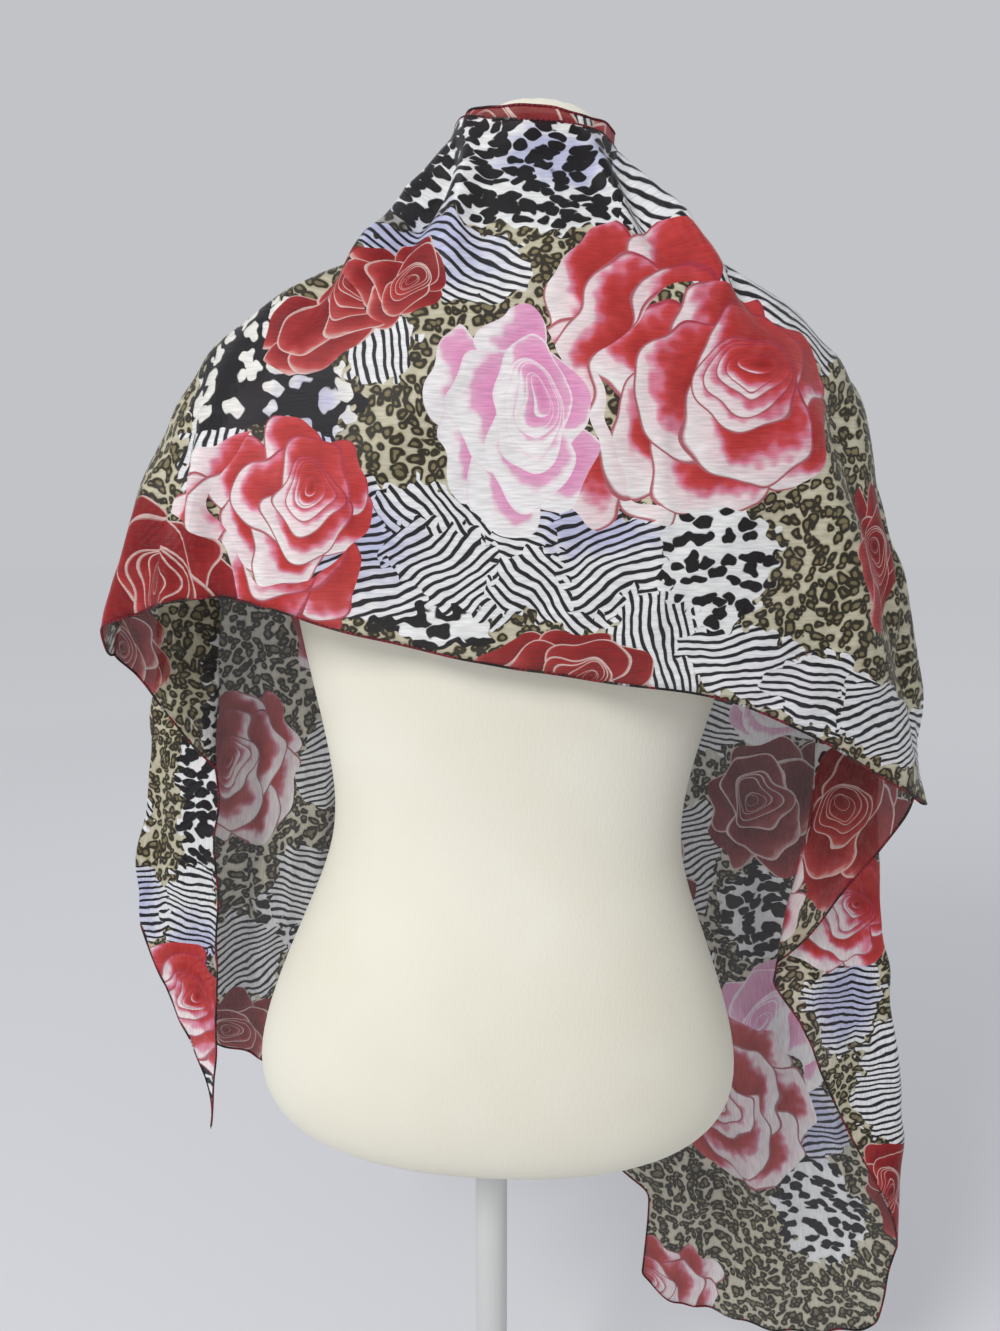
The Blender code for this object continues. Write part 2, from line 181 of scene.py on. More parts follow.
# %% Form
CAP_EDGE = 1.024
HOLE_RADIUS = 0.013
HOLE_TOP = 0.46
form = nodes["form_torso"].copy()
form.data = form.data.copy()
form.name = "form_body"
bpy.context.collection.objects.link(form)
form.parent = None
for modifier in list(form.modifiers):
    form.modifiers.remove(modifier)
bpy.ops.object.select_all(action="DESELECT")
form.select_set(True)
bpy.context.view_layer.objects.active = form
bpy.ops.object.mode_set(mode="EDIT")
bpy.ops.mesh.select_all(action="SELECT")
bpy.ops.mesh.remove_doubles(threshold=0.00002)
bpy.ops.mesh.tris_convert_to_quads(face_threshold=math.radians(50), shape_threshold=math.radians(60))
bpy.ops.object.mode_set(mode="OBJECT")
hole = [v.index for v in form.data.vertices
        if math.hypot(v.co.x, v.co.y) < HOLE_RADIUS and v.co.z < HOLE_TOP]
crease = form.data.attributes.new("crease_edge", "FLOAT", "EDGE")
for edge in form.data.edges:
    if edge.vertices[0] in hole and edge.vertices[1] in hole:
        crease.data[edge.index].value = 1.0
rounding = form.modifiers.new("Rounding", "SUBSURF")
rounding.levels = 2
rounding.render_levels = 2
bpy.ops.object.modifier_apply(modifier=rounding.name)
bpy.ops.object.mode_set(mode="EDIT")
bpy.ops.mesh.select_mode(type="VERT")
bpy.ops.mesh.select_all(action="DESELECT")
bpy.ops.object.mode_set(mode="OBJECT")
for vertex in form.data.vertices:
    vertex.select = vertex.co.z > CAP_EDGE
bpy.ops.object.mode_set(mode="EDIT")
bpy.ops.mesh.vertices_smooth(factor=0.5, repeat=24)
bpy.ops.object.mode_set(mode="OBJECT")
form.data.shade_smooth()
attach(form, "root")
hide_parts("form_torso")
print("form faces:", len(form.data.polygons))

# %% [markdown]
# ## The stand
#
# The pole is a steel tube with a satin powder coat, and the base is a steel plate with the same coat, a
# little darker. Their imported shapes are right, so they stay. Powder is sprayed on dry and melted in an
# oven, and it dries with a soft dimpling like orange peel.

# %% Powder-coated steel
def powder_coat(name, hex_colour, roughness):
    """A satin powder coat. Its gloss is a little uneven, as well as its surface."""
    made, tree = new_material(name)
    place = add(tree, "ShaderNodeTexCoord")
    peel = add(tree, "ShaderNodeTexNoise", {"Vector": place.outputs["Object"], "Scale": 420.0, "Detail": 1.0})
    dull = add(tree, "ShaderNodeTexNoise", {"Vector": place.outputs["Object"], "Scale": 14.0, "Detail": 3.0})
    gloss = add(tree, "ShaderNodeMapRange",
                {"Value": dull, "From Min": 0.3, "From Max": 0.7,
                 "To Min": roughness - 0.05, "To Max": roughness + 0.08})
    bump = add(tree, "ShaderNodeBump", {"Height": peel, "Strength": 0.12, "Distance": 0.0006})
    shader = add(tree, "ShaderNodeBsdfPrincipled",
                 {"Base Color": light_of(hex_colour), "Roughness": gloss, "Normal": bump.outputs["Normal"]})
    add(tree, "ShaderNodeOutputMaterial", {"Surface": shader})
    return made


POWDERS = (
    # node, material, colour, roughness
    ("stand_pole", "steel_tube_powder_coated", "#CFCFCD", 0.35),
    ("stand_base", "steel_plate_powder_coated", "#C6C6C4", 0.5),
)
for node, name, hex_colour, roughness in POWDERS:
    nodes[node].data.materials.clear()
    nodes[node].data.materials.append(powder_coat(name, hex_colour, roughness))
print("coated:", [row[0] for row in POWDERS])

# %% [markdown]
# ## The jersey cover
#
# The cover is a fine cream cotton jersey. A jersey's ribs are about half a millimetre apart, which is too
# fine to show here, so they are drawn 1.6 mm apart and shallow. Cotton scatters light softly, so it is
# rough with a faint sheen, and its colour changes a very little from place to place.

# %% Cotton jersey
RIB_SPACING = 0.0016
jersey, tree = new_material("cotton_jersey_cream")
place = add(tree, "ShaderNodeTexCoord")
upright = add(tree, "ShaderNodeMapping", {"Vector": place.outputs["Object"], "Scale": (1.0, 1.0, 0.45)})
ribs = add(tree, "ShaderNodeTexNoise", {"Vector": upright, "Scale": 1 / RIB_SPACING, "Detail": 1.0})
cloudy = add(tree, "ShaderNodeTexNoise", {"Vector": place.outputs["Object"], "Scale": 9.0, "Detail": 3.0})
tone = add(tree, "ShaderNodeMapRange", {"Value": cloudy, "From Min": 0.3, "From Max": 0.7})
cream = add(tree, "ShaderNodeMix", {0: tone, 6: light_of("#E0DBC8"), 7: light_of("#E7E3D4")},
            data_type="RGBA")
bump = add(tree, "ShaderNodeBump", {"Height": ribs, "Strength": 0.25, "Distance": 0.0008})
shader = add(tree, "ShaderNodeBsdfPrincipled",
             {"Base Color": cream.outputs[2], "Roughness": 0.75, "Sheen Weight": 0.15, "Sheen Roughness": 0.5,
              "Specular IOR Level": 0.3, "Normal": bump.outputs["Normal"]})
add(tree, "ShaderNodeOutputMaterial", {"Surface": shader})
form.data.materials.clear()
form.data.materials.append(jersey)
print("ribs, mm apart:", RIB_SPACING * 1000)

# %% [markdown]
# ## How the scarf hangs
#
# The scarf is a rectangle of chiffon, about half a metre wide and 1.6 m long. Its long edges run along the
# hem at the back and along the neck, and its short edges are the bottoms of the two ends.
#
# The cloth is described by its sections, as a boat is by its ribs. A row of the first table is one section
# round the back. In front, each side's sections run from the shoulder line in to a pleat, out to its outer
# fold, and in again to the front edge. A place along such a section is 0 at the shoulder line and 1 at the
# front edge.

# %% Sections of the cloth
SPINE_X = 0.029
CREST_Y = 0.010
SECTION_POWER_HEM = 2.3
SECTION_POWER_NECK = 2.2
BACK_SECTIONS = (
    # left_x, left_z, back_y, back_z, right_x, right_z
    (-0.254, 0.702, -0.100, 0.707, 0.293, 0.602),
    (-0.244, 0.752, -0.103, 0.765, 0.280, 0.667),
    (-0.226, 0.800, -0.103, 0.825, 0.267, 0.742),
    (-0.202, 0.848, -0.099, 0.875, 0.250, 0.806),
    (-0.179, 0.884, -0.089, 0.914, 0.235, 0.866),
    (-0.134, 0.912, -0.079, 0.944, 0.202, 0.904),
    (-0.086, 0.939, -0.069, 0.968, 0.150, 0.942),
    (-0.052, 0.974, -0.061, 0.988, 0.110, 0.975),
    (-0.034, 1.007, -0.054, 1.004, 0.089, 0.995),
    (-0.022, 1.031, -0.051, 1.017, 0.080, 1.009),
)
BACK_HEM = (
    # across, height
    (-1.00, 0.702),
    (-0.93, 0.727),
    (-0.80, 0.742),
    (-0.66, 0.748),
    (-0.35, 0.727),
    (0.00, 0.707),
    (0.38, 0.692),
    (0.60, 0.668),
    (1.00, 0.602),
)
INNER_FOLD = 0.20
OUTER_FOLD = 0.40
MIDDLE = 0.70
PLEAT_DEPTHS = (0.0, 0.29, 0.58, 0.85, 1.0)
PLEAT_TOP = 0.900
PLEAT_FULL = 0.740
FRONT_POWER = 2.1
NECK_EDGE_FRONT = 0.986
FRONT_DEPTHS = (
    # height, front_y
    (0.10, 0.112),
    (0.40, 0.120),
    (0.70, 0.127),
    (0.82, 0.127),
    (0.87, 0.113),
    (0.90, 0.094),
    (0.93, 0.074),
    (0.97, 0.060),
    (1.04, 0.0475),
)
FOLDS = {
    # height, inner_fold_x, outer_fold_x, edge_x
    "left": (
        (0.330, -0.216, -0.260, -0.052),
        (0.390, -0.208, -0.270, -0.050),
        (0.510, -0.203, -0.273, -0.046),
        (0.590, -0.200, -0.262, -0.042),
        (0.652, -0.198, -0.254, -0.038),
        (0.800, -0.186, -0.232, -0.028),
        (0.900, -0.160, -0.180, -0.018),
        (1.040, -0.018, -0.012, 0.008),
    ),
    "right": (
        (0.110, 0.216, 0.322, 0.126),
        (0.218, 0.216, 0.326, 0.134),
        (0.240, 0.216, 0.326, 0.114),
        (0.262, 0.216, 0.324, 0.088),
        (0.310, 0.216, 0.319, 0.062),
        (0.440, 0.217, 0.307, 0.048),
        (0.560, 0.226, 0.294, 0.050),
        (0.640, 0.232, 0.287, 0.056),
        (0.800, 0.224, 0.262, 0.066),
        (0.900, 0.200, 0.214, 0.066),
        (1.040, 0.070, 0.065, 0.050),
    ),
}
TURN_HEMS = {
    # place, height
    "left": ((0.00, 0.702), (0.05, 0.688), (0.10, 0.656), (0.15, 0.626), (0.20, 0.612)),
    "right": ((0.00, 0.602), (0.05, 0.572), (0.10, 0.531), (0.15, 0.487), (0.20, 0.465)),
}
FALL_HEMS = {
    # place, height
    "left": ((0.20, 0.330), (0.25, 0.364), (0.32, 0.427), (0.40, 0.482), (0.48, 0.424),
             (0.58, 0.366), (0.70, 0.355), (1.00, 0.368)),
    "right": ((0.20, 0.452), (0.25, 0.418), (0.30, 0.345), (0.36, 0.250), (0.41, 0.190),
              (0.45, 0.130), (0.55, 0.111), (0.70, 0.112), (0.90, 0.122), (1.00, 0.146)),
}
SOFT_FOLDS = {
    # place, half_width, forward, bottom, top
    "left": ((0.52, 0.045, 0.007, 0.30, 0.78), (0.64, 0.050, -0.009, 0.25, 0.84),
             (0.78, 0.060, 0.006, 0.25, 0.76), (0.91, 0.055, -0.006, 0.20, 0.72)),
    "right": ((0.53, 0.050, 0.006, 0.00, 0.74), (0.67, 0.060, -0.008, 0.00, 0.80),
              (0.81, 0.055, 0.007, 0.00, 0.70), (0.93, 0.050, -0.005, 0.00, 0.60)),
}
print("sections round the back:", len(BACK_SECTIONS))

# %% [markdown]
# Between the sections the cloth runs in smooth curves. The curve used here never swings past the values it
# goes through, so a fold stays as deep as the table says.

# %% Smooth curves through a table
def column(table, number):
    """One column of a table."""
    return [row[number] for row in table]


def fade(value, start, end):
    """Goes smoothly from 0 at start to 1 at end."""
    t = np.clip((value - start) / (end - start), 0.0, 1.0)
    return t * t * (3 - 2 * t)


def through(stations, values, at, level_start=False):
    """A smooth curve through values at rising stations. Each row of values is a number or shaped like at."""
    stations = np.asarray(stations, float)
    at = np.clip(np.asarray(at, float), stations[0], stations[-1])
    values = np.asarray(values, float)
    if values.ndim == 1:
        values = values.reshape(-1, *(1,) * at.ndim)
    values = np.broadcast_to(values, (len(stations), *at.shape))
    step = np.diff(stations).reshape(-1, *(1,) * at.ndim)
    rise = np.diff(values, axis=0) / step
    slope = np.empty_like(values)
    slope[0] = 0.0 if level_start else rise[0]
    slope[-1] = rise[-1]
    before, after = rise[:-1], rise[1:]
    same_way = before * after > 0
    slope[1:-1] = np.where(same_way, 2 * before * after / np.where(same_way, before + after, 1.0), 0.0)
    k = np.clip(np.searchsorted(stations, at, side="right") - 1, 0, len(stations) - 2)
    width = np.diff(stations)[k]
    t = (at - stations[k]) / width
    low, high, start, end = (
        np.take_along_axis(source, row[None], axis=0)[0]
        for source, row in ((values, k), (values, k + 1), (slope, k), (slope, k + 1))
    )
    return (low * (1 + 2 * t) * (1 - t) ** 2 + start * width * t * (1 - t) ** 2
            + high * t * t * (3 - 2 * t) - end * width * t * t * (1 - t))


print("halfway from 0 to 1:", float(through((0, 1, 2), (0, 1, 1), 0.5)))

# %% [markdown]
# The back panel's section is a flattened oval. Its sides droop towards the shoulder lines, and the hem's own
# curve fades out up the back.

# %% Back panel
def back_points(across, up):
    """Points on the back panel. across runs from -1 to 1 between the shoulder lines, up from 0 at the hem."""
    stations = np.linspace(0, 1, len(BACK_SECTIONS))
    left_x, left_z, back_y, back_z, right_x, right_z = (
        through(stations, column(BACK_SECTIONS, n), up) for n in range(6)
    )
    on_left = across < 0
    droop = np.abs(across) ** 2.5
    hem_side = np.where(on_left, BACK_SECTIONS[0][1], BACK_SECTIONS[0][5])
    plain_hem = BACK_SECTIONS[0][3] + (hem_side - BACK_SECTIONS[0][3]) * droop
    hem = through(column(BACK_HEM, 0), column(BACK_HEM, 1), across)
    power = SECTION_POWER_HEM + (SECTION_POWER_NECK - SECTION_POWER_HEM) * up
    oval = np.clip(1 - np.abs(across) ** power, 0.0, 1.0) ** (1 / power)
    x = SPINE_X + np.where(on_left, SPINE_X - left_x, right_x - SPINE_X) * across
    y = CREST_Y + (back_y - CREST_Y) * oval
    z = back_z + (np.where(on_left, left_z, right_z) - back_z) * droop + (hem - plain_hem) * (1 - up) ** 2
    return np.stack([x, y, z], axis=-1)


def crest(side, up):
    """The shoulder line's x and height, from hem to neck."""
    stations = np.linspace(0, 1, len(BACK_SECTIONS))
    x, z = (0, 1) if side == "left" else (4, 5)
    return (through(stations, column(BACK_SECTIONS, n), up) for n in (x, z))


print("middle of the hem:", back_points(np.array(0.0), np.array(0.0)).round(3))

# %% [markdown]
# In front, the oval section fades into the pleat's zigzag on the way down, and the long soft folds are
# added as ridges and troughs that die away towards their ends.

# %% Fronts
def front_points(side, place, height):
    """Points on one front, at these places along its section and at these heights."""
    folds = FOLDS[side]
    inner, outer, edge = (through(column(folds, 0), column(folds, n), height) for n in (1, 2, 3))
    up = np.linspace(0, 1, 400)
    _, heights = crest(side, up)
    crest_x, _ = crest(side, np.interp(height, heights, up))
    front = through(column(FRONT_DEPTHS, 0), column(FRONT_DEPTHS, 1), height)
    pleat = fade(height, PLEAT_TOP, PLEAT_FULL)
    places = (0.0, INNER_FOLD, OUTER_FOLD, MIDDLE, 1.0)
    lines_x, lines_y = [], []
    for where, fold_x, depth in zip(places, (crest_x, inner, outer, (outer + edge) / 2, edge), PLEAT_DEPTHS):
        turn = where * math.pi / 2
        plain_x = edge + (crest_x - edge) * max(math.cos(turn), 0.0) ** (2 / FRONT_POWER)
        plain_depth = math.sin(turn) ** (2 / FRONT_POWER)
        lines_x.append(plain_x + (fold_x - plain_x) * pleat)
        lines_y.append(CREST_Y + (front - CREST_Y) * (plain_depth + (depth - plain_depth) * pleat))
    x = through(places, lines_x, place, level_start=True)
    y = through(places, lines_y, place)
    for where, half_width, forward, bottom, top in SOFT_FOLDS[side]:
        across = np.clip(1 - np.abs(place - where) / half_width, 0, 1)
        strength = fade(height, top, top - 0.18) * fade(height, bottom - 0.05, bottom + 0.05)
        y = y + forward * across * across * (3 - 2 * across) * strength
    return np.stack([x, y, height + 0 * x], axis=-1)


print("left edge at 0.5 m:", front_points("left", np.array(1.0), np.array(0.5)).round(3))

# %% [markdown]
# ## One sheet
#
# The cloth is one sheet, so it is one mesh: a net of points for the back, one for each turn over the
# shoulder, and one for each end, which share their points where they meet. Columns lie closer together at
# the folds.
#
# Each point also gets its place on the flat cloth, in metres, measured along the net itself, so that creases
# and print bend with the cloth. A real shawl is gathered on the shoulders, where its front needs less cloth
# than its back. This net has no gathers, so above the turned corners the print in front is measured from the
# front edge instead. It hangs straight there, and meets the back's print along the shoulder line.

# %% Net of the whole cloth
ROWS = 84
LOWER_ROWS = 56
BACK_COLUMNS = 180
PLEAT_COLUMNS = 20
FRONT_COLUMNS = 66


def crowded(start, end, faces):
    """Stations from start to end that lie closer together towards both."""
    return start + (end - start) * (1 - np.cos(np.linspace(0, math.pi, faces + 1))) / 2


def run(points, axes, axis):
    """How far each point is along its row or column, measured in these two directions."""
    steps = np.linalg.norm(np.diff(points[..., axes], axis=axis), axis=-1)
    start = np.zeros_like(np.take(steps, [0], axis=axis))
    return np.concatenate([start, np.cumsum(steps, axis=axis)], axis=axis)


def front_levels(side, place, low):
    """The heights of a front's rows, from low up to the neck edge, spaced as on the shoulder line."""
    _, heights = crest(side, np.linspace(0, 1, ROWS + 1))
    share = (heights - heights[0]) / (heights[-1] - heights[0])
    high = heights[-1] + (NECK_EDGE_FRONT - heights[-1]) * fade(place, 0.0, 1.0)
    return low + (high - low) * share[:, None]


columns_at = np.sin(np.linspace(-math.pi / 2, math.pi / 2, BACK_COLUMNS + 1))
across, up = np.meshgrid(columns_at, np.linspace(0, 1, ROWS + 1))
back = back_points(across, up)
flat_u = run(back, [0, 1], 1)
flat_u -= flat_u[:, [BACK_COLUMNS // 2]]
flat_v = back[[0], :, 2] + run(back, [1, 2], 0)
nets = [back.reshape(-1, 3)]
flats = [np.stack([flat_u, flat_v], -1).reshape(-1, 2)]
back_index = np.arange(back.shape[0] * back.shape[1]).reshape(back.shape[:2])
panels = {"back": back_index}
from_edge = {}
count = back_index.size

for side, sign, edge_column in (("left", -1, 0), ("right", 1, BACK_COLUMNS)):
    place = crowded(0.0, INNER_FOLD, PLEAT_COLUMNS)
    low = through(column(TURN_HEMS[side], 0), column(TURN_HEMS[side], 1), place)
    height = front_levels(side, place, low)
    turn = front_points(side, np.broadcast_to(place, height.shape), height)
    turn_reach = run(turn, [0, 1], 1)
    turn_u = flat_u[:, [edge_column]] + sign * turn_reach
    turn_v = height[[0]] + run(turn, [1, 2], 0)
    turn_index = np.empty(turn.shape[:2], int)
    turn_index[:, 0] = back_index[:, edge_column]
    turn_index[:, 1:] = count + np.arange(turn_index[:, 1:].size).reshape(ROWS + 1, -1)
    nets.append(turn[:, 1:].reshape(-1, 3))
    flats.append(np.stack([turn_u, turn_v], -1)[:, 1:].reshape(-1, 2))
    count += turn_index[:, 1:].size

    inward = crowded(OUTER_FOLD, 2 - OUTER_FOLD, 2 * FRONT_COLUMNS)[: FRONT_COLUMNS + 1]
    place = np.concatenate([crowded(INNER_FOLD, OUTER_FOLD, PLEAT_COLUMNS)[:-1], inward])
    bottom = through(column(FALL_HEMS[side], 0), column(FALL_HEMS[side], 1), place)
    middle = TURN_HEMS[side][-1][1] + 0 * place
    lower = bottom + (middle - bottom) * (np.arange(LOWER_ROWS) / LOWER_ROWS)[:, None]
    height = np.vstack([lower, front_levels(side, place, middle)])
    fall = front_points(side, np.broadcast_to(place, height.shape), height)
    start_u = np.concatenate([np.full(LOWER_ROWS, turn_u[0, -1]), turn_u[:, -1]])
    reach = run(fall, [0, 1], 1)
    fall_u = start_u[:, None] + sign * reach
    shortfall = fall_u[LOWER_ROWS, -1] - fall_u[:, [-1]]
    shortfall[:LOWER_ROWS] = 0
    fall_u += shortfall * reach / reach[:, [-1]]
    fall_v = height[[0]] + run(fall, [1, 2], 0)
    edge_u = fall_u[LOWER_ROWS, -1]
    upper_reach = reach[LOWER_ROWS:]
    from_edge[side + "_fall"] = edge_u + sign * (upper_reach - upper_reach[:, [-1]])
    from_edge[side + "_turn"] = edge_u + sign * (turn_reach - turn_reach[:, [-1]] - upper_reach[:, [-1]])
    fall_index = np.empty(fall.shape[:2], int)
    own = np.ones(fall.shape[:2], bool)
    own[LOWER_ROWS:, 0] = False
    fall_index[LOWER_ROWS:, 0] = turn_index[:, -1]
    fall_index[own] = count + np.arange(own.sum())
    nets.append(fall[own])
    flats.append(np.stack([fall_u, fall_v], -1)[own])
    count += int(own.sum())
    panels[side + "_turn"] = turn_index
    panels[side + "_fall"] = fall_index

points = np.concatenate(nets)
flat = np.concatenate(flats)
printed = {name: flat[index] for name, index in panels.items()}
for name, measured_u in from_edge.items():
    printed[name][-len(measured_u):, :, 0] = measured_u
print("points in the net:", len(points), " flat, m:", flat.min(0).round(3), flat.max(0).round(3))

# %% [markdown]
# ## The print
#
# The chiffon is printed with roses on a ground of animal skins: olive leopard all over, with patches of
# zebra, cheetah and white pebbles on black laid on it like torn paper, and a lavender wash here and there.
# Nothing in it is a picture. Each motif is drawn from a rule, in metres.
#
# The tables say where each motif lies on the flat cloth, how far it reaches, how it is turned and what kind
# it is.

# %% Tables of motifs
ROSES = (
    # u, v, half_length, half_width, turn, kind
    (-0.160, 0.780, 0.064, 0.060, -30, 0),
    (-0.140, 0.803, 0.047, 0.046, 15, 0),
    (-0.112, 0.908, 0.052, 0.026, 32, 2),
    (-0.080, 0.926, 0.027, 0.025, 0, 2),
    (-0.240, 0.738, 0.066, 0.060, 40, 2),
    (0.062, 0.850, 0.056, 0.060, 60, 0),
    (0.050, 0.878, 0.056, 0.090, -10, 0),
    (0.100, 0.861, 0.070, 0.066, 14, 0),
    (-0.016, 0.846, 0.043, 0.064, 10, 1),
    (0.012, 0.703, 0.052, 0.030, 5, 2),
    (0.212, 0.770, 0.026, 0.044, 0, 2),
    (0.576, 0.645, 0.056, 0.042, 20, 1),
    (0.582, 0.568, 0.056, 0.056, 0, 2),
    (0.376, 0.572, 0.074, 0.060, 35, 2),
    (0.450, 0.498, 0.056, 0.050, -20, 0),
    (0.585, 0.376, 0.052, 0.066, 30, 1),
    (0.626, 0.318, 0.064, 0.080, -15, 0),
    (0.492, 0.255, 0.028, 0.050, 10, 2),
    (0.706, 0.132, 0.054, 0.050, 0, 0),
    (-0.345, 0.702, 0.028, 0.036, 0, 2),
    (-0.545, 0.600, 0.040, 0.064, 0, 0),
    (-0.436, 0.418, 0.052, 0.058, 15, 0),
    (-0.548, 0.378, 0.040, 0.038, 0, 2),
    (-0.640, 0.700, 0.060, 0.056, 40, 0),
    (-0.560, 0.840, 0.052, 0.050, 0, 1),
    (0.640, 0.760, 0.060, 0.058, 10, 0),
    (0.700, 0.500, 0.054, 0.056, 60, 2),
    (0.560, 0.900, 0.050, 0.048, 0, 1),
    (-0.060, 1.206, 0.086, 0.050, 0, 2),
    (0.086, 1.214, 0.062, 0.050, 0, 2),
)
ZEBRA = (
    # u, v, half_length, half_width, turn, stripe_angle
    (-0.054, 0.938, 0.050, 0.022, -14, 62),
    (0.098, 0.948, 0.062, 0.026, -30, 38),
    (0.150, 0.915, 0.045, 0.022, -38, 60),
    (-0.086, 0.886, 0.020, 0.024, 10, 8),
    (-0.131, 0.846, 0.022, 0.028, 12, 12),
    (-0.190, 0.830, 0.028, 0.024, 0, -20),
    (-0.100, 0.780, 0.052, 0.036, -20, 105),
    (-0.052, 0.792, 0.040, 0.018, -16, 40),
    (-0.044, 0.764, 0.046, 0.020, -24, 125),
    (0.004, 0.786, 0.034, 0.022, 12, 70),
    (0.014, 0.754, 0.042, 0.020, -8, 45),
    (0.036, 0.774, 0.030, 0.030, 0, 115),
    (0.066, 0.722, 0.026, 0.034, 14, 12),
    (0.128, 0.706, 0.052, 0.022, -20, 100),
    (0.176, 0.690, 0.050, 0.020, -16, 74),
    (0.226, 0.666, 0.050, 0.022, -30, 100),
    (0.284, 0.640, 0.040, 0.024, -40, 66),
    (0.490, 0.650, 0.034, 0.030, 0, 30),
    (0.650, 0.520, 0.026, 0.050, 0, 60),
    (0.456, 0.428, 0.034, 0.046, 10, 84),
    (0.500, 0.350, 0.030, 0.050, 0, 105),
    (0.560, 0.300, 0.026, 0.034, 20, 70),
    (0.440, 0.200, 0.030, 0.040, 0, 80),
    (0.660, 0.420, 0.030, 0.040, 30, 40),
    (-0.500, 0.575, 0.034, 0.030, 0, 50),
    (-0.482, 0.500, 0.040, 0.032, 0, 110),
    (-0.552, 0.446, 0.034, 0.034, 10, 60),
    (-0.600, 0.500, 0.030, 0.036, -20, 110),
    (-0.420, 0.500, 0.026, 0.034, 0, 80),
    (-0.610, 0.600, 0.028, 0.034, 0, 75),
    (-0.330, 0.690, 0.030, 0.030, 0, 40),
    (-0.380, 0.800, 0.040, 0.030, 30, 50),
    (-0.600, 0.900, 0.040, 0.030, 0, 60),
    (0.400, 0.800, 0.040, 0.030, -30, 60),
    (0.640, 0.640, 0.036, 0.030, 0, 100),
    (0.072, 0.990, 0.030, 0.026, -50, 48),
    (0.030, 1.214, 0.060, 0.040, 0, 20),
)
CHEETAH = (
    # u, v, half_length, half_width, turn, spacing, ink
    (0.000, 0.996, 0.150, 0.040, -4, 0.0064, 1.0),
    (0.080, 0.766, 0.056, 0.040, 12, 0.0088, 0.2),
    (0.036, 0.764, 0.034, 0.028, 0, 0.0080, 0.5),
    (-0.064, 0.736, 0.034, 0.016, -10, 0.0110, 1.0),
    (-0.412, 0.590, 0.022, 0.130, 0, 0.0074, 1.0),
    (-0.420, 0.370, 0.030, 0.050, 0, 0.0080, 0.8),
    (-0.590, 0.480, 0.030, 0.030, 0, 0.0074, 0.6),
    (0.566, 0.226, 0.036, 0.052, -10, 0.0084, 0.5),
    (0.590, 0.480, 0.030, 0.040, 0, 0.0074, 1.0),
    (0.640, 0.900, 0.050, 0.030, 0, 0.0088, 0.2),
    (-0.640, 0.800, 0.040, 0.030, 0, 0.0088, 0.4),
    (0.420, 0.620, 0.030, 0.030, 0, 0.0074, 0.6),
)
PEBBLES = (
    # u, v, half_length, half_width, turn
    (-0.168, 0.880, 0.052, 0.032, 30),
    (-0.136, 0.862, 0.036, 0.024, -10),
    (0.480, 0.740, 0.026, 0.034, 0),
    (-0.620, 0.420, 0.030, 0.024, 0),
    (0.560, 0.820, 0.030, 0.024, 0),
)
LAVENDER = (
    # u, v, half_length, half_width, turn
    (-0.112, 0.784, 0.050, 0.036, -16),
    (-0.131, 0.846, 0.030, 0.034, 0),
    (-0.070, 0.950, 0.060, 0.026, -16),
    (0.010, 1.000, 0.050, 0.020, 0),
    (0.456, 0.424, 0.036, 0.040, 0),
    (-0.482, 0.500, 0.034, 0.040, 0),
    (0.560, 0.300, 0.030, 0.040, 0),
    (-0.420, 0.450, 0.030, 0.060, 0),
    (0.030, 0.790, 0.040, 0.022, 0),
)
PETALS = (
    # x, y, radius, depth, from the outermost to the heart of the bud
    (-0.52, 0.46, 0.46, 0.01),
    (0.22, 0.56, 0.46, 0.09),
    (-0.56, -0.20, 0.48, 0.00),
    (-0.20, -0.54, 0.50, 0.00),
    (0.52, -0.44, 0.46, 0.02),
    (0.60, 0.10, 0.42, 0.09),
    (-0.16, 0.10, 0.56, 0.05),
    (0.14, -0.26, 0.52, 0.02),
    (0.34, 0.26, 0.48, 0.11),
    (0.22, 0.04, 0.43, 0.09),
    (0.27, 0.09, 0.34, 0.12),
    (0.31, 0.13, 0.26, 0.17),
    (0.29, 0.09, 0.18, 0.22),
    (0.33, 0.13, 0.11, 0.24),
)
STRIPE_SPACING = 0.0050
LEOPARD_SPACING = 0.0064
PEBBLE_SPACING = 0.0165
print("roses:", len(ROSES), " zebra patches:", len(ZEBRA), " petals in a rose:", len(PETALS))

# %% [markdown]
# Each patch is an oval. Inside it, the place counts from the oval's middle in half lengths and half widths,
# so the oval's edge is at 1. A place's third number is always 1, so one dot product can move, turn and scale
# it at once. Later patches cover earlier ones.

# %% Ovals
def oval(tree, place, row):
    """The place in an oval's own half length and half width, then 1 inside and 0 outside, then its reach."""
    u, v, half_length, half_width, turn = row[:5]
    c, s = math.cos(math.radians(turn)), math.sin(math.radians(turn))
    along = (c / half_length, s / half_length, -(c * u + s * v) / half_length)
    aside = (-s / half_width, c / half_width, (s * u - c * v) / half_width)
    x = add(tree, "ShaderNodeVectorMath", {0: place, 1: along}, operation="DOT_PRODUCT").outputs["Value"]
    y = add(tree, "ShaderNodeVectorMath", {0: place, 1: aside}, operation="DOT_PRODUCT").outputs["Value"]
    own = add(tree, "ShaderNodeCombineXYZ", {0: x, 1: y}).outputs[0]
    reach = add(tree, "ShaderNodeVectorMath", {0: own}, operation="LENGTH").outputs["Value"]
    return own, add(tree, "ShaderNodeMath", {0: reach, 1: 1.0}, operation="LESS_THAN").outputs[0], reach


def near(table, low, high):
    """The rows of a table that reach into a length of the cloth."""
    reach = 0.01
    return [
        row for row in table
        if row[0] + max(row[2:4]) > low - reach and row[0] - max(row[2:4]) < high + reach
    ]


print("roses on the left half of the back:", len(near(ROSES, -0.300, 0.000)))

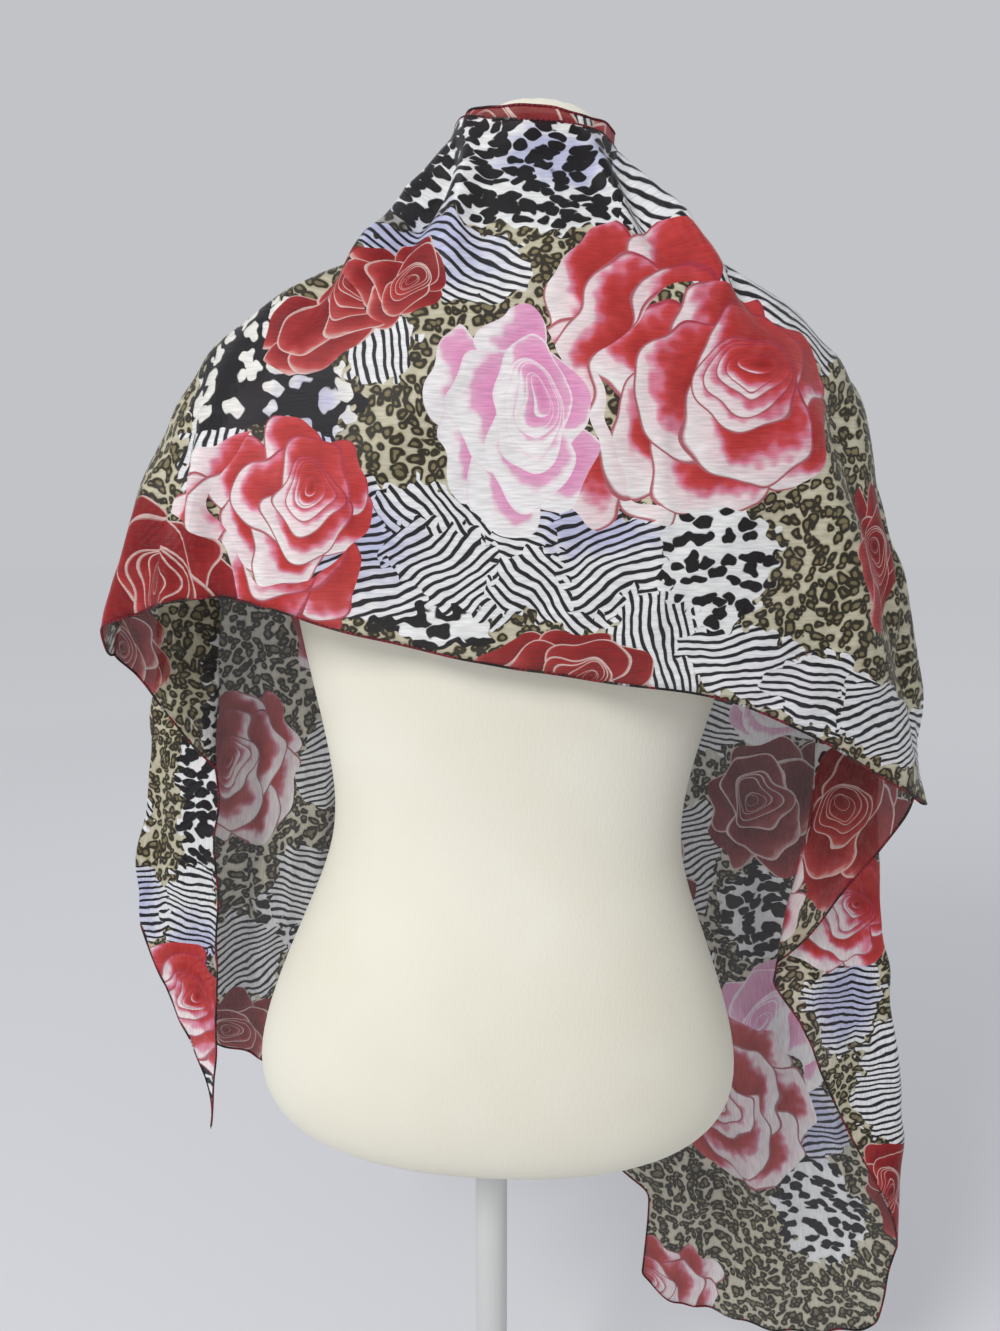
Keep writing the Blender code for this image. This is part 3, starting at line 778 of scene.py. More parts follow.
# %% [markdown]
# Two noises bend the places. The slow one lets a whole motif lean, and the quick one makes an edge waver,
# so a patch looks torn. The stripes are bent less than the edges, so that they stay even. How far each kind
# is bent is counted in metres.

# %% Places bent by noise
DRIFT = 0.016
TEAR = 0.014
STRIPE_DRIFT = 0.008
CELL_WAVER = 0.0034


def bend(group, start):
    """Four kinds of bent place, and the quick noise, which runs from about -0.3 to 0.3."""
    half = (0.5, 0.5, 0.5)
    wobble = add(group, "ShaderNodeTexNoise", {"Vector": start, "Scale": 150.0, "Detail": 0.0},
                 noise_dimensions="2D")
    centred = add(group, "ShaderNodeVectorMath", {0: wobble.outputs["Color"], 1: half}, operation="SUBTRACT")
    slow = add(group, "ShaderNodeTexNoise", {"Vector": start, "Scale": 38.0, "Detail": 0.0},
               noise_dimensions="2D")
    drift = add(group, "ShaderNodeVectorMath", {0: slow.outputs["Color"], 1: half}, operation="SUBTRACT")
    level = add(group, "ShaderNodeVectorMath", {0: start, 1: (0, 0, 1)}, operation="ADD").outputs[0]
    place = add(group, "ShaderNodeVectorMath", {0: drift, 1: (DRIFT, DRIFT, 0), 2: level},
                operation="MULTIPLY_ADD").outputs[0]
    torn = add(group, "ShaderNodeVectorMath", {0: centred, 1: (TEAR, TEAR, 0), 2: place},
               operation="MULTIPLY_ADD").outputs[0]
    combed = add(group, "ShaderNodeVectorMath",
                 {0: drift, 1: (STRIPE_DRIFT, STRIPE_DRIFT, 0), 2: level},
                 operation="MULTIPLY_ADD").outputs[0]
    uneven = add(group, "ShaderNodeVectorMath",
                 {0: centred, 1: (CELL_WAVER, CELL_WAVER, 0), 2: combed},
                 operation="MULTIPLY_ADD").outputs[0]
    return place, torn, combed, uneven, add(group, "ShaderNodeSeparateXYZ", {0: centred})


print("an edge wavers by about, mm:", round(1000 * TEAR * 0.3))

# %% [markdown]
# Leopard, cheetah and pebbles are one net of cells, coloured by how far a place is from its cell's middle.
# A leopard's spot is a dark ring round an olive middle, a cheetah's is solid black, and the pebbles are
# white on black. The size of the cells changes with the patch, and a little from spot to spot.

# %% Spots
def spots(group, low, high, torn, uneven, grain):
    """The spotted ground: leopard, with patches of cheetah and pebbles. Also gives where the pebbles are."""
    cheetah, ink, pebbles = 0.0, 0.0, 0.0
    size = 1 / LEOPARD_SPACING
    for row in near(CHEETAH, low, high):
        inside = oval(group, torn, row)[1]
        cheetah = add(group, "ShaderNodeMath", {0: inside, 1: cheetah}, operation="MAXIMUM").outputs[0]
        size = add(group, "ShaderNodeMix", {0: inside, 2: size, 3: 1 / row[5]}).outputs[0]
        ink = add(group, "ShaderNodeMix", {0: inside, 2: ink, 3: row[6]}).outputs[0]
    for row in near(PEBBLES, low, high):
        inside = oval(group, torn, row)[1]
        pebbles = add(group, "ShaderNodeMath", {0: inside, 1: pebbles}, operation="MAXIMUM").outputs[0]
    size = add(group, "ShaderNodeMix", {0: pebbles, 2: size, 3: 1 / PEBBLE_SPACING}).outputs[0]
    squeezed = add(group, "ShaderNodeMix", {0: cheetah, 4: (1, 1, 0), 5: (0.62, 1.05, 0)},
                   data_type="VECTOR").outputs[1]
    cells_at = add(group, "ShaderNodeVectorMath", {0: uneven, 1: squeezed}, operation="MULTIPLY")
    cells = add(group, "ShaderNodeTexVoronoi", {"Vector": cells_at, "Scale": size}, voronoi_dimensions="2D")
    ragged = add(group, "ShaderNodeMath", {0: grain.outputs[2], 1: 0.40, 2: cells.outputs["Distance"]},
                 operation="MULTIPLY_ADD")
    far = add(group, "ShaderNodeMath", {0: cells.outputs["Color"], 1: 0.22, 2: ragged},
              operation="MULTIPLY_ADD").outputs[0]
    leopard = add(group, "ShaderNodeValToRGB", {0: far},
                  ((0.0, "#8A7E5B"), (0.25, "#7A6F4F"), (0.32, "#2F2A20"), (0.56, "#322D22"),
                   (0.61, "#8F8564"), (0.66, "#CCC4A7"), (0.90, "#DAD3BA")))
    inked = add(group, "ShaderNodeMath", {0: ink, 1: -0.17, 2: far}, operation="MULTIPLY_ADD")
    blotches = add(group, "ShaderNodeValToRGB", {0: inked},
                   ((0.0, "#131115"), (0.42, "#131115"), (0.47, "#FAFAFA"), (1.0, "#FFFFFC")))
    stones = add(group, "ShaderNodeValToRGB", {0: far},
                 ((0.0, "#FFFCF6"), (0.42, "#FAF7F0"), (0.46, "#17151A"), (1.0, "#17151A")))
    ground = add(group, "ShaderNodeMix", {0: cheetah, 6: leopard, 7: blotches}, data_type="RGBA").outputs[2]
    return ground, pebbles, stones


print("leopard spots, mm apart:", LEOPARD_SPACING * 1000)

# %% [markdown]
# A zebra patch has black and white stripes at its own angle. Where patches overlap like torn paper, the
# stripes change direction. The lavender wash lies over everything white, as thin ink would.

# %% Stripes and wash
def stripes_and_wash(group, low, high, torn, combed, grain, ground, pebbles, stones):
    """Lays zebra, then pebbles, then the lavender wash over the spotted ground."""
    zebra, phase, lavender = 0.0, 0.0, 0.0
    for row in near(LAVENDER, low, high):
        wash = add(group, "ShaderNodeMapRange", {0: oval(group, torn, row)[2], 1: 1.0, 2: 0.5})
        lavender = add(group, "ShaderNodeMath", {0: wash, 1: lavender}, operation="MAXIMUM").outputs[0]
    for row in near(ZEBRA, low, high):
        inside = oval(group, torn, row)[1]
        turn = math.radians(row[5])
        pace = (2 * math.cos(turn) / STRIPE_SPACING, 2 * math.sin(turn) / STRIPE_SPACING, 0.37 * row[5])
        own_phase = add(group, "ShaderNodeVectorMath", {0: combed, 1: pace}, operation="DOT_PRODUCT")
        phase = add(group, "ShaderNodeMix", {0: inside, 2: phase, 3: own_phase.outputs["Value"]}).outputs[0]
        zebra = add(group, "ShaderNodeMath", {0: inside, 1: zebra}, operation="MAXIMUM").outputs[0]
    waver = add(group, "ShaderNodeMath", {0: grain.outputs[1], 1: 0.45, 2: phase}, operation="MULTIPLY_ADD")
    wave = add(group, "ShaderNodeMath", {0: waver, 1: 1.0}, operation="PINGPONG")
    stripes = add(group, "ShaderNodeValToRGB", {0: wave},
                  ((0.0, "#1E1C21"), (0.35, "#1E1C21"), (0.46, "#F8F8FA"), (1.0, "#FFFFFF")))
    colour = add(group, "ShaderNodeMix", {0: zebra, 6: ground, 7: stripes}, data_type="RGBA").outputs[2]
    colour = add(group, "ShaderNodeMix", {0: pebbles, 6: colour, 7: stones}, data_type="RGBA").outputs[2]
    wash = add(group, "ShaderNodeMath", {0: lavender, 1: 0.6}, operation="MULTIPLY")
    return add(group, "ShaderNodeMix", {0: wash, 6: colour, 7: light_of("#A9AEE8")}, data_type="RGBA",
               blend_type="MULTIPLY").outputs[2]


print("zebra stripes, mm apart:", STRIPE_SPACING * 1000)

# %% [markdown]
# A rose is a pile of round petals that cover each other, as the patches do. They shrink towards the bud,
# which sits a little off the middle. Only the petal on top shows, so it is enough to carry its place
# upwards through the pile. It starts far away from every petal. Each petal goes from deep to pale across
# it, with a thin line round its rim.

# %% The petal on top
FAR_AWAY = (9.0, 9.0, 0.0)


def top_petal(tree, own):
    """The place in the petal that lies on top, counted in its radii. Its third number is its depth."""
    top = FAR_AWAY
    for x, y, radius, depth in PETALS:
        scale, shift = (1 / radius, 1 / radius, 0), (-x / radius, -y / radius, depth)
        local = add(tree, "ShaderNodeVectorMath", {0: own, 1: scale, 2: shift},
                    operation="MULTIPLY_ADD").outputs[0]
        far = add(tree, "ShaderNodeVectorMath", {0: local}, operation="LENGTH").outputs["Value"]
        on = add(tree, "ShaderNodeMath", {0: far, 1: 1.0}, operation="LESS_THAN").outputs[0]
        top = add(tree, "ShaderNodeMix", {0: on, 4: top, 5: local}, data_type="VECTOR").outputs[1]
    return top


print("smallest petal's radius, share of a rose:", min(column(PETALS, 2)))

# %% [markdown]
# There are three kinds of rose: red ones that fade to white, pale pink ones, and dark red ones drawn in fine
# pale lines.

# %% Roses
def roses_over(group, low, high, place, grain, ground):
    """Lays the roses over the ground."""
    own, kind = FAR_AWAY, 0.0
    for row in near(ROSES, low, high):
        rose_own, inside, _ = oval(group, place, row)
        own = add(group, "ShaderNodeMix", {0: inside, 4: own, 5: rose_own}, data_type="VECTOR").outputs[1]
        kind = add(group, "ShaderNodeMix", {0: inside, 2: kind, 3: float(row[5])}).outputs[0]
    top = top_petal(group, own)
    share = add(group, "ShaderNodeVectorMath", {0: top}, operation="LENGTH").outputs["Value"]
    petal = add(group, "ShaderNodeMath", {0: share, 1: 1.5}, operation="LESS_THAN").outputs[0]
    tilt = add(group, "ShaderNodeVectorMath", {0: top, 1: (-0.19, -0.13, -1)}, operation="DOT_PRODUCT")
    shade = add(group, "ShaderNodeMath", {0: share, 1: 0.62, 2: tilt.outputs["Value"]},
                operation="MULTIPLY_ADD").outputs[0]
    shade = add(group, "ShaderNodeMath", {0: grain.outputs[1], 1: 0.14, 2: shade},
                operation="MULTIPLY_ADD").outputs[0]
    shade = add(group, "ShaderNodeMath", {0: shade, 1: 0.22}, operation="ADD").outputs[0]
    rim = add(group, "ShaderNodeMapRange", {0: share, 1: 0.94, 2: 0.97, 4: 0.9})
    deep = add(group, "ShaderNodeValToRGB", {0: shade},
               ((0.0, "#84141A"), (0.25, "#A52325"), (0.50, "#C03533"), (0.58, "#CC464E"), (0.66, "#E58AA4"),
                (0.73, "#FBE3E6"), (1.0, "#FFFAF8")))
    pale = add(group, "ShaderNodeValToRGB", {0: shade},
               ((0.0, "#E084B5"), (0.4, "#EE9FCB"), (0.56, "#F3B4D5"), (0.61, "#FBDFEB"), (0.66, "#FFF9FA"),
                (1.0, "#FFFFFF")))
    dark = add(group, "ShaderNodeValToRGB", {0: shade},
               ((0.0, "#6A1014"), (0.5, "#8C191D"), (0.75, "#A3292B"), (0.90, "#BC4644"), (1.0, "#DFA29C")))
    is_pale = add(group, "ShaderNodeMath", {0: kind, 1: 1.0, 2: 0.4}, operation="COMPARE").outputs[0]
    is_dark = add(group, "ShaderNodeMath", {0: kind, 1: 1.5}, operation="GREATER_THAN").outputs[0]
    rose = add(group, "ShaderNodeMix", {0: is_pale, 6: deep, 7: pale}, data_type="RGBA").outputs[2]
    rose = add(group, "ShaderNodeMix", {0: is_dark, 6: rose, 7: dark}, data_type="RGBA").outputs[2]
    line = add(group, "ShaderNodeMix", {0: is_pale, 6: light_of("#A52B40"), 7: light_of("#FFF1F6")},
               data_type="RGBA").outputs[2]
    line = add(group, "ShaderNodeMix", {0: is_dark, 6: line, 7: light_of("#EBCDC6")},
               data_type="RGBA").outputs[2]
    rose = add(group, "ShaderNodeMix", {0: rim, 6: rose, 7: line}, data_type="RGBA").outputs[2]
    return add(group, "ShaderNodeMix", {0: petal, 6: ground, 7: rose}, data_type="RGBA").outputs[2]


print("kinds of rose:", len(set(column(ROSES, 5))))

# %% [markdown]
# The print is one node group for each length of the scarf, with just the motifs that reach into that
# length, so each one stays quick to work out. From the bottom up it has the skins, the lavender wash and
# the roses.

# %% The print as node groups
LENGTHS = (
    # name, low, high
    ("left_end", -0.90, -0.300),
    ("back_left", -0.300, 0.000),
    ("back_right", 0.000, 0.310),
    ("right_end", 0.310, 0.90),
)


def make_print(name, low, high):
    """The print between two places along the flat cloth."""
    group = bpy.data.node_groups.new(name, "ShaderNodeTree")
    group.interface.new_socket("Flat", in_out="INPUT", socket_type="NodeSocketVector")
    group.interface.new_socket("Colour", in_out="OUTPUT", socket_type="NodeSocketColor")
    place, torn, combed, uneven, grain = bend(group, add(group, "NodeGroupInput").outputs["Flat"])
    ground, pebbles, stones = spots(group, low, high, torn, uneven, grain)
    ground = stripes_and_wash(group, low, high, torn, combed, grain, ground, pebbles, stones)
    add(group, "NodeGroupOutput", {0: roses_over(group, low, high, place, grain, ground)})
    return group


prints = {name: make_print(f"print_{name}", low, high) for name, low, high in LENGTHS}
print("nodes in each print:", {name: len(group.nodes) for name, group in prints.items()})

# %% [markdown]
# ## Chiffon
#
# Chiffon is a very light plain weave of hard-twisted yarn, so it is crinkled like crepe and can be seen
# through. This one is polyester. Where it is pale, almost a fifth of the light goes straight through. Dark
# dye fills the yarns and lets hardly any through, so the shader's alpha follows how pale the print is. The
# wrong side is painted darker and greyer. The dye is pressed on from one side and doesn't soak right
# through, which dulls that side a little. The rest is painted shade for the inner sides of the ends, which
# hang in the form's shade. The crinkles are short streaks along the yarns, drawn about a millimetre
# apart, which is coarser than real ones.

# %% Chiffon
CRINKLE_SPACING = 0.0011
CRINKLE_LENGTH = 0.012
PALE_SEEN_THROUGH = 0.18
DARK_SEEN_THROUGH = 0.05
# How far the wrong side is darkened towards dark grey: a little for its duller dye, the rest painted shade.
WRONG_SIDE_DULL_AND_SHADE = 0.34


def make_chiffon(name, own_print):
    """The chiffon of one length of the scarf, with its own part of the print."""
    made, tree = new_material(name)
    flat_place = add(tree, "ShaderNodeUVMap", uv_map="flat").outputs[0]
    threads = add(tree, "ShaderNodeUVMap", uv_map="threads").outputs[0]
    dye = add(tree, "ShaderNodeGroup", node_tree=own_print)
    tree.links.new(flat_place, dye.inputs["Flat"])
    per_crinkle = (1 / CRINKLE_LENGTH, 1 / CRINKLE_SPACING, 0)
    along_yarns = add(tree, "ShaderNodeVectorMath", {0: threads, 1: per_crinkle}, operation="MULTIPLY")
    crinkle = add(tree, "ShaderNodeTexNoise", {"Vector": along_yarns, "Scale": 1.0, "Detail": 1.0},
                  noise_dimensions="2D")
    streak = add(tree, "ShaderNodeMapRange",
                 {"Value": crinkle, "From Min": 0.3, "From Max": 0.7, "To Min": 0.90, "To Max": 1.13})
    # Painted shade: the wrong side's colour is mixed towards dark grey, more than its duller dye would give.
    wrong = add(tree, "ShaderNodeAttribute", attribute_name="wrong_side").outputs["Fac"]
    wrong_side_darkening = add(tree, "ShaderNodeMath", {0: wrong, 1: WRONG_SIDE_DULL_AND_SHADE}, operation="MULTIPLY")
    dulled_and_shaded = add(tree, "ShaderNodeMix", {0: wrong_side_darkening, 6: dye, 7: light_of("#3B3937")},
                 data_type="RGBA").outputs[2]
    colour = add(tree, "ShaderNodeVectorMath", {0: dulled_and_shaded, "Scale": streak}, operation="SCALE")
    paleness = add(tree, "ShaderNodeRGBToBW", {0: dye})
    cover = add(tree, "ShaderNodeMapRange",
                {"Value": paleness, "From Min": 0.03, "From Max": 0.6,
                 "To Min": 1 - math.sqrt(DARK_SEEN_THROUGH), "To Max": 1 - math.sqrt(PALE_SEEN_THROUGH)})
    bump = add(tree, "ShaderNodeBump", {"Height": crinkle, "Strength": 0.3, "Distance": 0.0008})
    shader = add(tree, "ShaderNodeBsdfPrincipled",
                 {"Base Color": colour, "Roughness": 0.55, "Specular IOR Level": 0.25, "Sheen Weight": 0.1,
                  "Sheen Roughness": 0.4, "Alpha": cover, "Normal": bump.outputs["Normal"]})
    add(tree, "ShaderNodeOutputMaterial", {"Surface": shader})
    return made


chiffons = [make_chiffon(f"polyester_chiffon_{name}", prints[name]) for name, _, _ in LENGTHS]
print("pale cloth covers, each face:", round(1 - math.sqrt(PALE_SEEN_THROUGH), 2))

# %% [markdown]
# ## Creases
#
# Chiffon never lies smooth. It gathers where it is pulled round the neck, runs in long soft folds down the
# ends, and keeps faint creases from being folded in a drawer. Each one is a soft ridge or trough along a
# line on the flat cloth, and each has its own length, width and lift, so none looks repeated. Three slow
# ripples of about a millimetre, which bend as they go, lie under them all over the cloth.

# %% Ridges and troughs
CREASES = (
    # from_u, from_v, to_u, to_v, half_width, lift
    (-0.070, 1.020, -0.120, 0.900, 0.010, 0.0112),
    (-0.055, 1.015, -0.085, 0.915, 0.008, -0.0080),
    (-0.040, 1.020, -0.050, 0.930, 0.008, 0.0080),
    (-0.085, 0.985, -0.150, 0.885, 0.009, -0.0064),
    (0.055, 1.010, 0.110, 0.915, 0.008, 0.0088),
    (0.070, 1.005, 0.135, 0.900, 0.007, -0.0072),
    (0.040, 1.015, 0.075, 0.930, 0.008, -0.0064),
    (0.025, 1.018, 0.055, 0.955, 0.006, 0.0048),
    (0.067, 0.900, 0.066, 0.700, 0.005, 0.0029),
    (-0.060, 0.900, -0.160, 0.720, 0.030, 0.0064),
    (0.130, 0.900, 0.215, 0.690, 0.022, 0.0096),
    (0.165, 0.880, 0.262, 0.680, 0.016, -0.0088),
    (0.190, 0.840, 0.290, 0.650, 0.012, 0.0080),
    (0.000, 0.900, 0.030, 0.690, 0.034, -0.0048),
    (-0.175, 0.870, -0.235, 0.730, 0.016, 0.0080),
    (-0.200, 0.850, -0.262, 0.720, 0.012, -0.0072),
    (-0.225, 0.830, -0.290, 0.700, 0.010, 0.0072),
    (-0.220, 0.850, -0.222, 0.725, 0.0055, 0.0042),
    (-0.209, 0.860, -0.211, 0.730, 0.0050, -0.0036),
    (-0.199, 0.850, -0.202, 0.728, 0.0050, 0.0040),
    (-0.188, 0.856, -0.188, 0.732, 0.0060, -0.0034),
    (0.236, 0.860, 0.262, 0.640, 0.0060, -0.0050),
    (0.252, 0.830, 0.290, 0.625, 0.0070, 0.0056),
    (-0.360, 0.720, -0.372, 0.560, 0.010, 0.0051),
    (-0.432, 0.600, -0.428, 0.360, 0.006, -0.0048),
    (-0.455, 0.640, -0.462, 0.430, 0.008, 0.0061),
    (-0.482, 0.600, -0.486, 0.450, 0.007, -0.0051),
    (-0.520, 0.720, -0.530, 0.380, 0.010, 0.0082),
    (-0.552, 0.640, -0.548, 0.350, 0.008, -0.0071),
    (-0.590, 0.700, -0.584, 0.360, 0.012, 0.0085),
    (-0.628, 0.600, -0.630, 0.350, 0.009, -0.0065),
    (-0.664, 0.740, -0.658, 0.380, 0.011, 0.0068),
    (-0.600, 0.920, -0.560, 0.700, 0.014, -0.0075),
    (-0.540, 0.900, -0.470, 0.700, 0.016, 0.0078),
    (-0.505, 0.640, -0.508, 0.420, 0.0060, 0.0060),
    (-0.536, 0.700, -0.538, 0.400, 0.0060, 0.0056),
    (-0.571, 0.660, -0.568, 0.390, 0.0070, 0.0060),
    (-0.612, 0.690, -0.606, 0.400, 0.0070, 0.0052),
    (0.352, 0.640, 0.362, 0.480, 0.011, 0.0061),
    (0.395, 0.560, 0.402, 0.300, 0.008, -0.0058),
    (0.428, 0.600, 0.420, 0.240, 0.009, 0.0068),
    (0.462, 0.520, 0.470, 0.220, 0.008, -0.0061),
    (0.505, 0.640, 0.500, 0.160, 0.011, 0.0085),
    (0.540, 0.480, 0.545, 0.120, 0.009, -0.0075),
    (0.575, 0.660, 0.566, 0.200, 0.013, 0.0092),
    (0.612, 0.420, 0.620, 0.120, 0.010, -0.0078),
    (0.655, 0.600, 0.648, 0.130, 0.012, 0.0078),
    (0.690, 0.460, 0.700, 0.150, 0.009, -0.0061),
    (0.560, 0.920, 0.520, 0.700, 0.015, 0.0078),
    (0.620, 0.900, 0.600, 0.680, 0.014, -0.0071),
)
RIPPLES = (
    # length, turn, height, shift
    (0.086, 12, 0.0011, 0.0),
    (0.061, 64, 0.0008, 1.9),
    (0.047, -38, 0.0007, 4.1),
)
normals = np.zeros_like(points)
for index in panels.values():
    mesh_points = points[index]
    across_step = np.gradient(mesh_points, axis=1)
    up_step = np.gradient(mesh_points, axis=0)
    panel_normals = np.cross(across_step, up_step)
    panel_normals /= np.linalg.norm(panel_normals, axis=-1, keepdims=True) + 1e-12
    normals[index] = panel_normals
lifted = np.zeros(len(points))
for from_u, from_v, to_u, to_v, half_width, lift in CREASES:
    line = np.array([to_u - from_u, to_v - from_v])
    share = ((flat - (from_u, from_v)) @ line) / (line @ line)
    nearest = np.array([from_u, from_v]) + np.clip(share, 0, 1)[:, None] * line
    away = np.linalg.norm(flat - nearest, axis=1) / half_width
    lifted += lift * np.exp(-away * away) * np.sin(np.clip(share, 0, 1) * math.pi) ** 0.7
for length, turn, height, shift in RIPPLES:
    way = np.array([math.cos(math.radians(turn)), math.sin(math.radians(turn))]) * 2 * math.pi / length
    lifted += height * np.sin(flat @ way + shift + 1.5 * np.sin(flat @ way[::-1] * 0.37))
points = points + normals * lifted[:, None]
print("creases:", len(CREASES), " largest lift, mm:", round(1000 * np.abs(lifted).max(), 1))

# %% [markdown]
# ## The border behind the neck
#
# The scarf's upper border is tucked in behind the neck, and a strip of it stands up above the back panel,
# close round the form's neck. It is a short net of its own on a half oval that leans as the form does, with
# its top edge a little lower on the right and slightly rippled. Its print lies beyond the scarf's own, so
# that it can have its own roses.

# %% Neck border
NECK_BOTTOM = 1.002
NECK_TOP = 1.0265
NECK_HALF_WIDTH = 0.0474
NECK_DEPTH = 0.0452
NECK_POWER = 2.25
NECK_TILT = 0.06
NECK_RADIUS = 0.046
FORM_LEAN = math.radians(2.35)
LEAN_X = 0.003
LEAN_Z = 0.375
BORDER_PRINT_V = 1.2
NECK_COLUMNS = 90
NECK_ROWS = 12
columns_at = np.radians(np.linspace(-160, -20, NECK_COLUMNS + 1))
turn, rise = np.meshgrid(columns_at, np.linspace(0, 1, NECK_ROWS + 1))
ripple = 1 + 0.012 * np.sin(turn * 9) * rise + 0.010 * np.sin(turn * 17 + 1) * rise
oval_x = np.sign(np.cos(turn)) * np.abs(np.cos(turn)) ** (2 / NECK_POWER) * NECK_HALF_WIDTH * ripple
oval_y = -np.abs(np.sin(turn)) ** (2 / NECK_POWER) * NECK_DEPTH * ripple
height = NECK_BOTTOM + (NECK_TOP - NECK_BOTTOM + 0.0008 * np.sin(turn * 7)) * rise
lean_x = LEAN_X + oval_x * math.cos(FORM_LEAN) + (height - LEAN_Z) * math.sin(FORM_LEAN)
lean_z = LEAN_Z - oval_x * math.sin(FORM_LEAN) + (height - LEAN_Z) * math.cos(FORM_LEAN)
border = np.stack([lean_x, oval_y, lean_z - (lean_x - SPINE_X) * NECK_TILT], -1)
border_flat = np.stack([(turn + math.pi / 2) * NECK_RADIUS, BORDER_PRINT_V + (height - NECK_BOTTOM)], -1)
print("border, mm high:", round(1000 * (NECK_TOP - NECK_BOTTOM), 1))

# %% [markdown]
# ## The cloth's mesh
#
# The net's points and faces make the mesh. It gets two maps in metres. One, for the print, is the place on
# the flat cloth. The other, for the crinkles, has its first direction along the scarf, which runs across
# the back and down the ends. Solidify then gives the cloth its thickness. It makes a second wall of faces
# behind the first, and those are marked as the wrong side of the print.

# %% Make a cloth object
CLOTH_THICKNESS = 0.0006


def quads_of(grid):
    """The four corners of each face in a grid of points, of point numbers or of places."""
    corners = np.stack([grid[:-1, :-1], grid[:-1, 1:], grid[1:, 1:], grid[1:, :-1]], 2)
    return corners.reshape(-1, *corners.shape[2:])


def make_cloth(name, where, places, faces, turned):
    """A sheet of chiffon. places has each face corner's flat place, turned is true where yarns run up."""
    mesh = bpy.data.meshes.new(name)
    mesh.from_pydata(where.tolist(), [], faces.tolist())
    along = np.where(turned[:, None, None], places[..., ::-1], places)
    for map_name, values in (("flat", places), ("threads", along)):
        layer = mesh.uv_layers.new(name=map_name)
        layer.data.foreach_set("uv", values.astype(np.float32).ravel())
    for made in chiffons:
        mesh.materials.append(made)
    length = np.searchsorted([low for _, low, _ in LENGTHS][1:], places[..., 0].mean(1))
    mesh.polygons.foreach_set("material_index", length.astype(np.int32))
    mesh.shade_smooth()
    cloth = bpy.data.objects.new(name, mesh)
    bpy.context.collection.objects.link(cloth)
    bpy.ops.object.select_all(action="DESELECT")
    cloth.select_set(True)
    bpy.context.view_layer.objects.active = cloth
    wall = cloth.modifiers.new("Thickness", "SOLIDIFY")
    wall.thickness = CLOTH_THICKNESS
    wall.offset = 0.0
    bpy.ops.object.modifier_apply(modifier=wall.name)
    wrong = mesh.attributes.new("wrong_side", "FLOAT", "FACE")
    second_wall = np.zeros(len(mesh.polygons), np.float32)
    second_wall[len(faces):2 * len(faces)] = 1.0
    wrong.data.foreach_set("value", second_wall)
    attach(cloth, "root")
    return cloth


faces, places, turned = [], [], []
for name, index in panels.items():
    order = [3, 2, 1, 0] if name.startswith("left") else [0, 1, 2, 3]
    faces.append(quads_of(index)[:, order])
    places.append(quads_of(printed[name])[:, order])
    turned.append(np.full(len(faces[-1]), name != "back"))
places, faces, turned = (np.concatenate(rows) for rows in (places, faces, turned))
scarf = make_cloth("chiffon_scarf", points, places, faces, turned)
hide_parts("scarf_back", "scarf_left_turn", "scarf_left_fall", "scarf_right_turn", "scarf_right_fall")
neck_index = np.arange(border[..., 0].size).reshape(border.shape[:2])
neck_faces = quads_of(neck_index)
neck = make_cloth("chiffon_neck_border", border.reshape(-1, 3), quads_of(border_flat), neck_faces,
                  np.zeros(len(neck_faces), bool))
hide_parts("scarf_neck_turn")
print("faces in the cloth:", len(scarf.data.polygons), "and", len(neck.data.polygons))

# %% [markdown]
# ## The rolled hem
#
# A chiffon scarf's edge is rolled up into a thin cord and whipped down with small stitches. The roll takes
# in the print, so along the hem it changes from black to red, olive and white. The whip stitches are short
# dark dashes across it, about three millimetres apart.

# %% Rolled chiffon
STITCH_SPACING = 0.003
hem_finish, tree = new_material("polyester_chiffon_rolled_and_whipped")
along_hem = add(tree, "ShaderNodeUVMap", uv_map="along_hem").outputs[0]
lengthwise = add(tree, "ShaderNodeVectorMath", {0: along_hem, 1: (1.0, 0.0, 0.0)}, operation="MULTIPLY")
patches = add(tree, "ShaderNodeTexNoise", {"Vector": lengthwise, "Scale": 26.0, "Detail": 3.0},
              noise_dimensions="2D")
rolled = add(tree, "ShaderNodeValToRGB", {0: patches},
             ((0.0, "#16141A"), (0.42, "#231C20"), (0.46, "#5E1A22"), (0.54, "#8A2530"), (0.57, "#3F3A2C"),
              (0.66, "#1C191D"), (0.70, "#B9B4B4"), (1.0, "#C9C5C5")))
per_stitch = (2 / STITCH_SPACING, 0.7, 0)
stitch_at = add(tree, "ShaderNodeVectorMath", {0: along_hem, 1: per_stitch}, operation="DOT_PRODUCT")
stitch = add(tree, "ShaderNodeMath", {0: stitch_at.outputs["Value"], 1: 1.0}, operation="PINGPONG")
dash = add(tree, "ShaderNodeMapRange",
           {"Value": stitch, "From Min": 0.25, "From Max": 0.4, "To Min": 0.35, "To Max": 1.0})
dark = add(tree, "ShaderNodeVectorMath", {0: rolled, "Scale": dash}, operation="SCALE")
bump = add(tree, "ShaderNodeBump", {"Height": stitch, "Strength": 0.5, "Distance": 0.0005})
shader = add(tree, "ShaderNodeBsdfPrincipled",
             {"Base Color": dark, "Roughness": 0.6, "Specular IOR Level": 0.25,
              "Normal": bump.outputs["Normal"]})
add(tree, "ShaderNodeOutputMaterial", {"Surface": shader})
print("stitches, mm apart:", STITCH_SPACING * 1000)

# %% [markdown]
# The roll itself is a fine tube, about a millimetre and a half thick, that follows the edge all the way
# round. Its path is read from the net's border and evened out first, so that its rings are equally spaced.

# %% Tube along an edge
HEM_RADIUS = 0.0008
HEM_STEP = 0.003
HEM_SIDES = 6


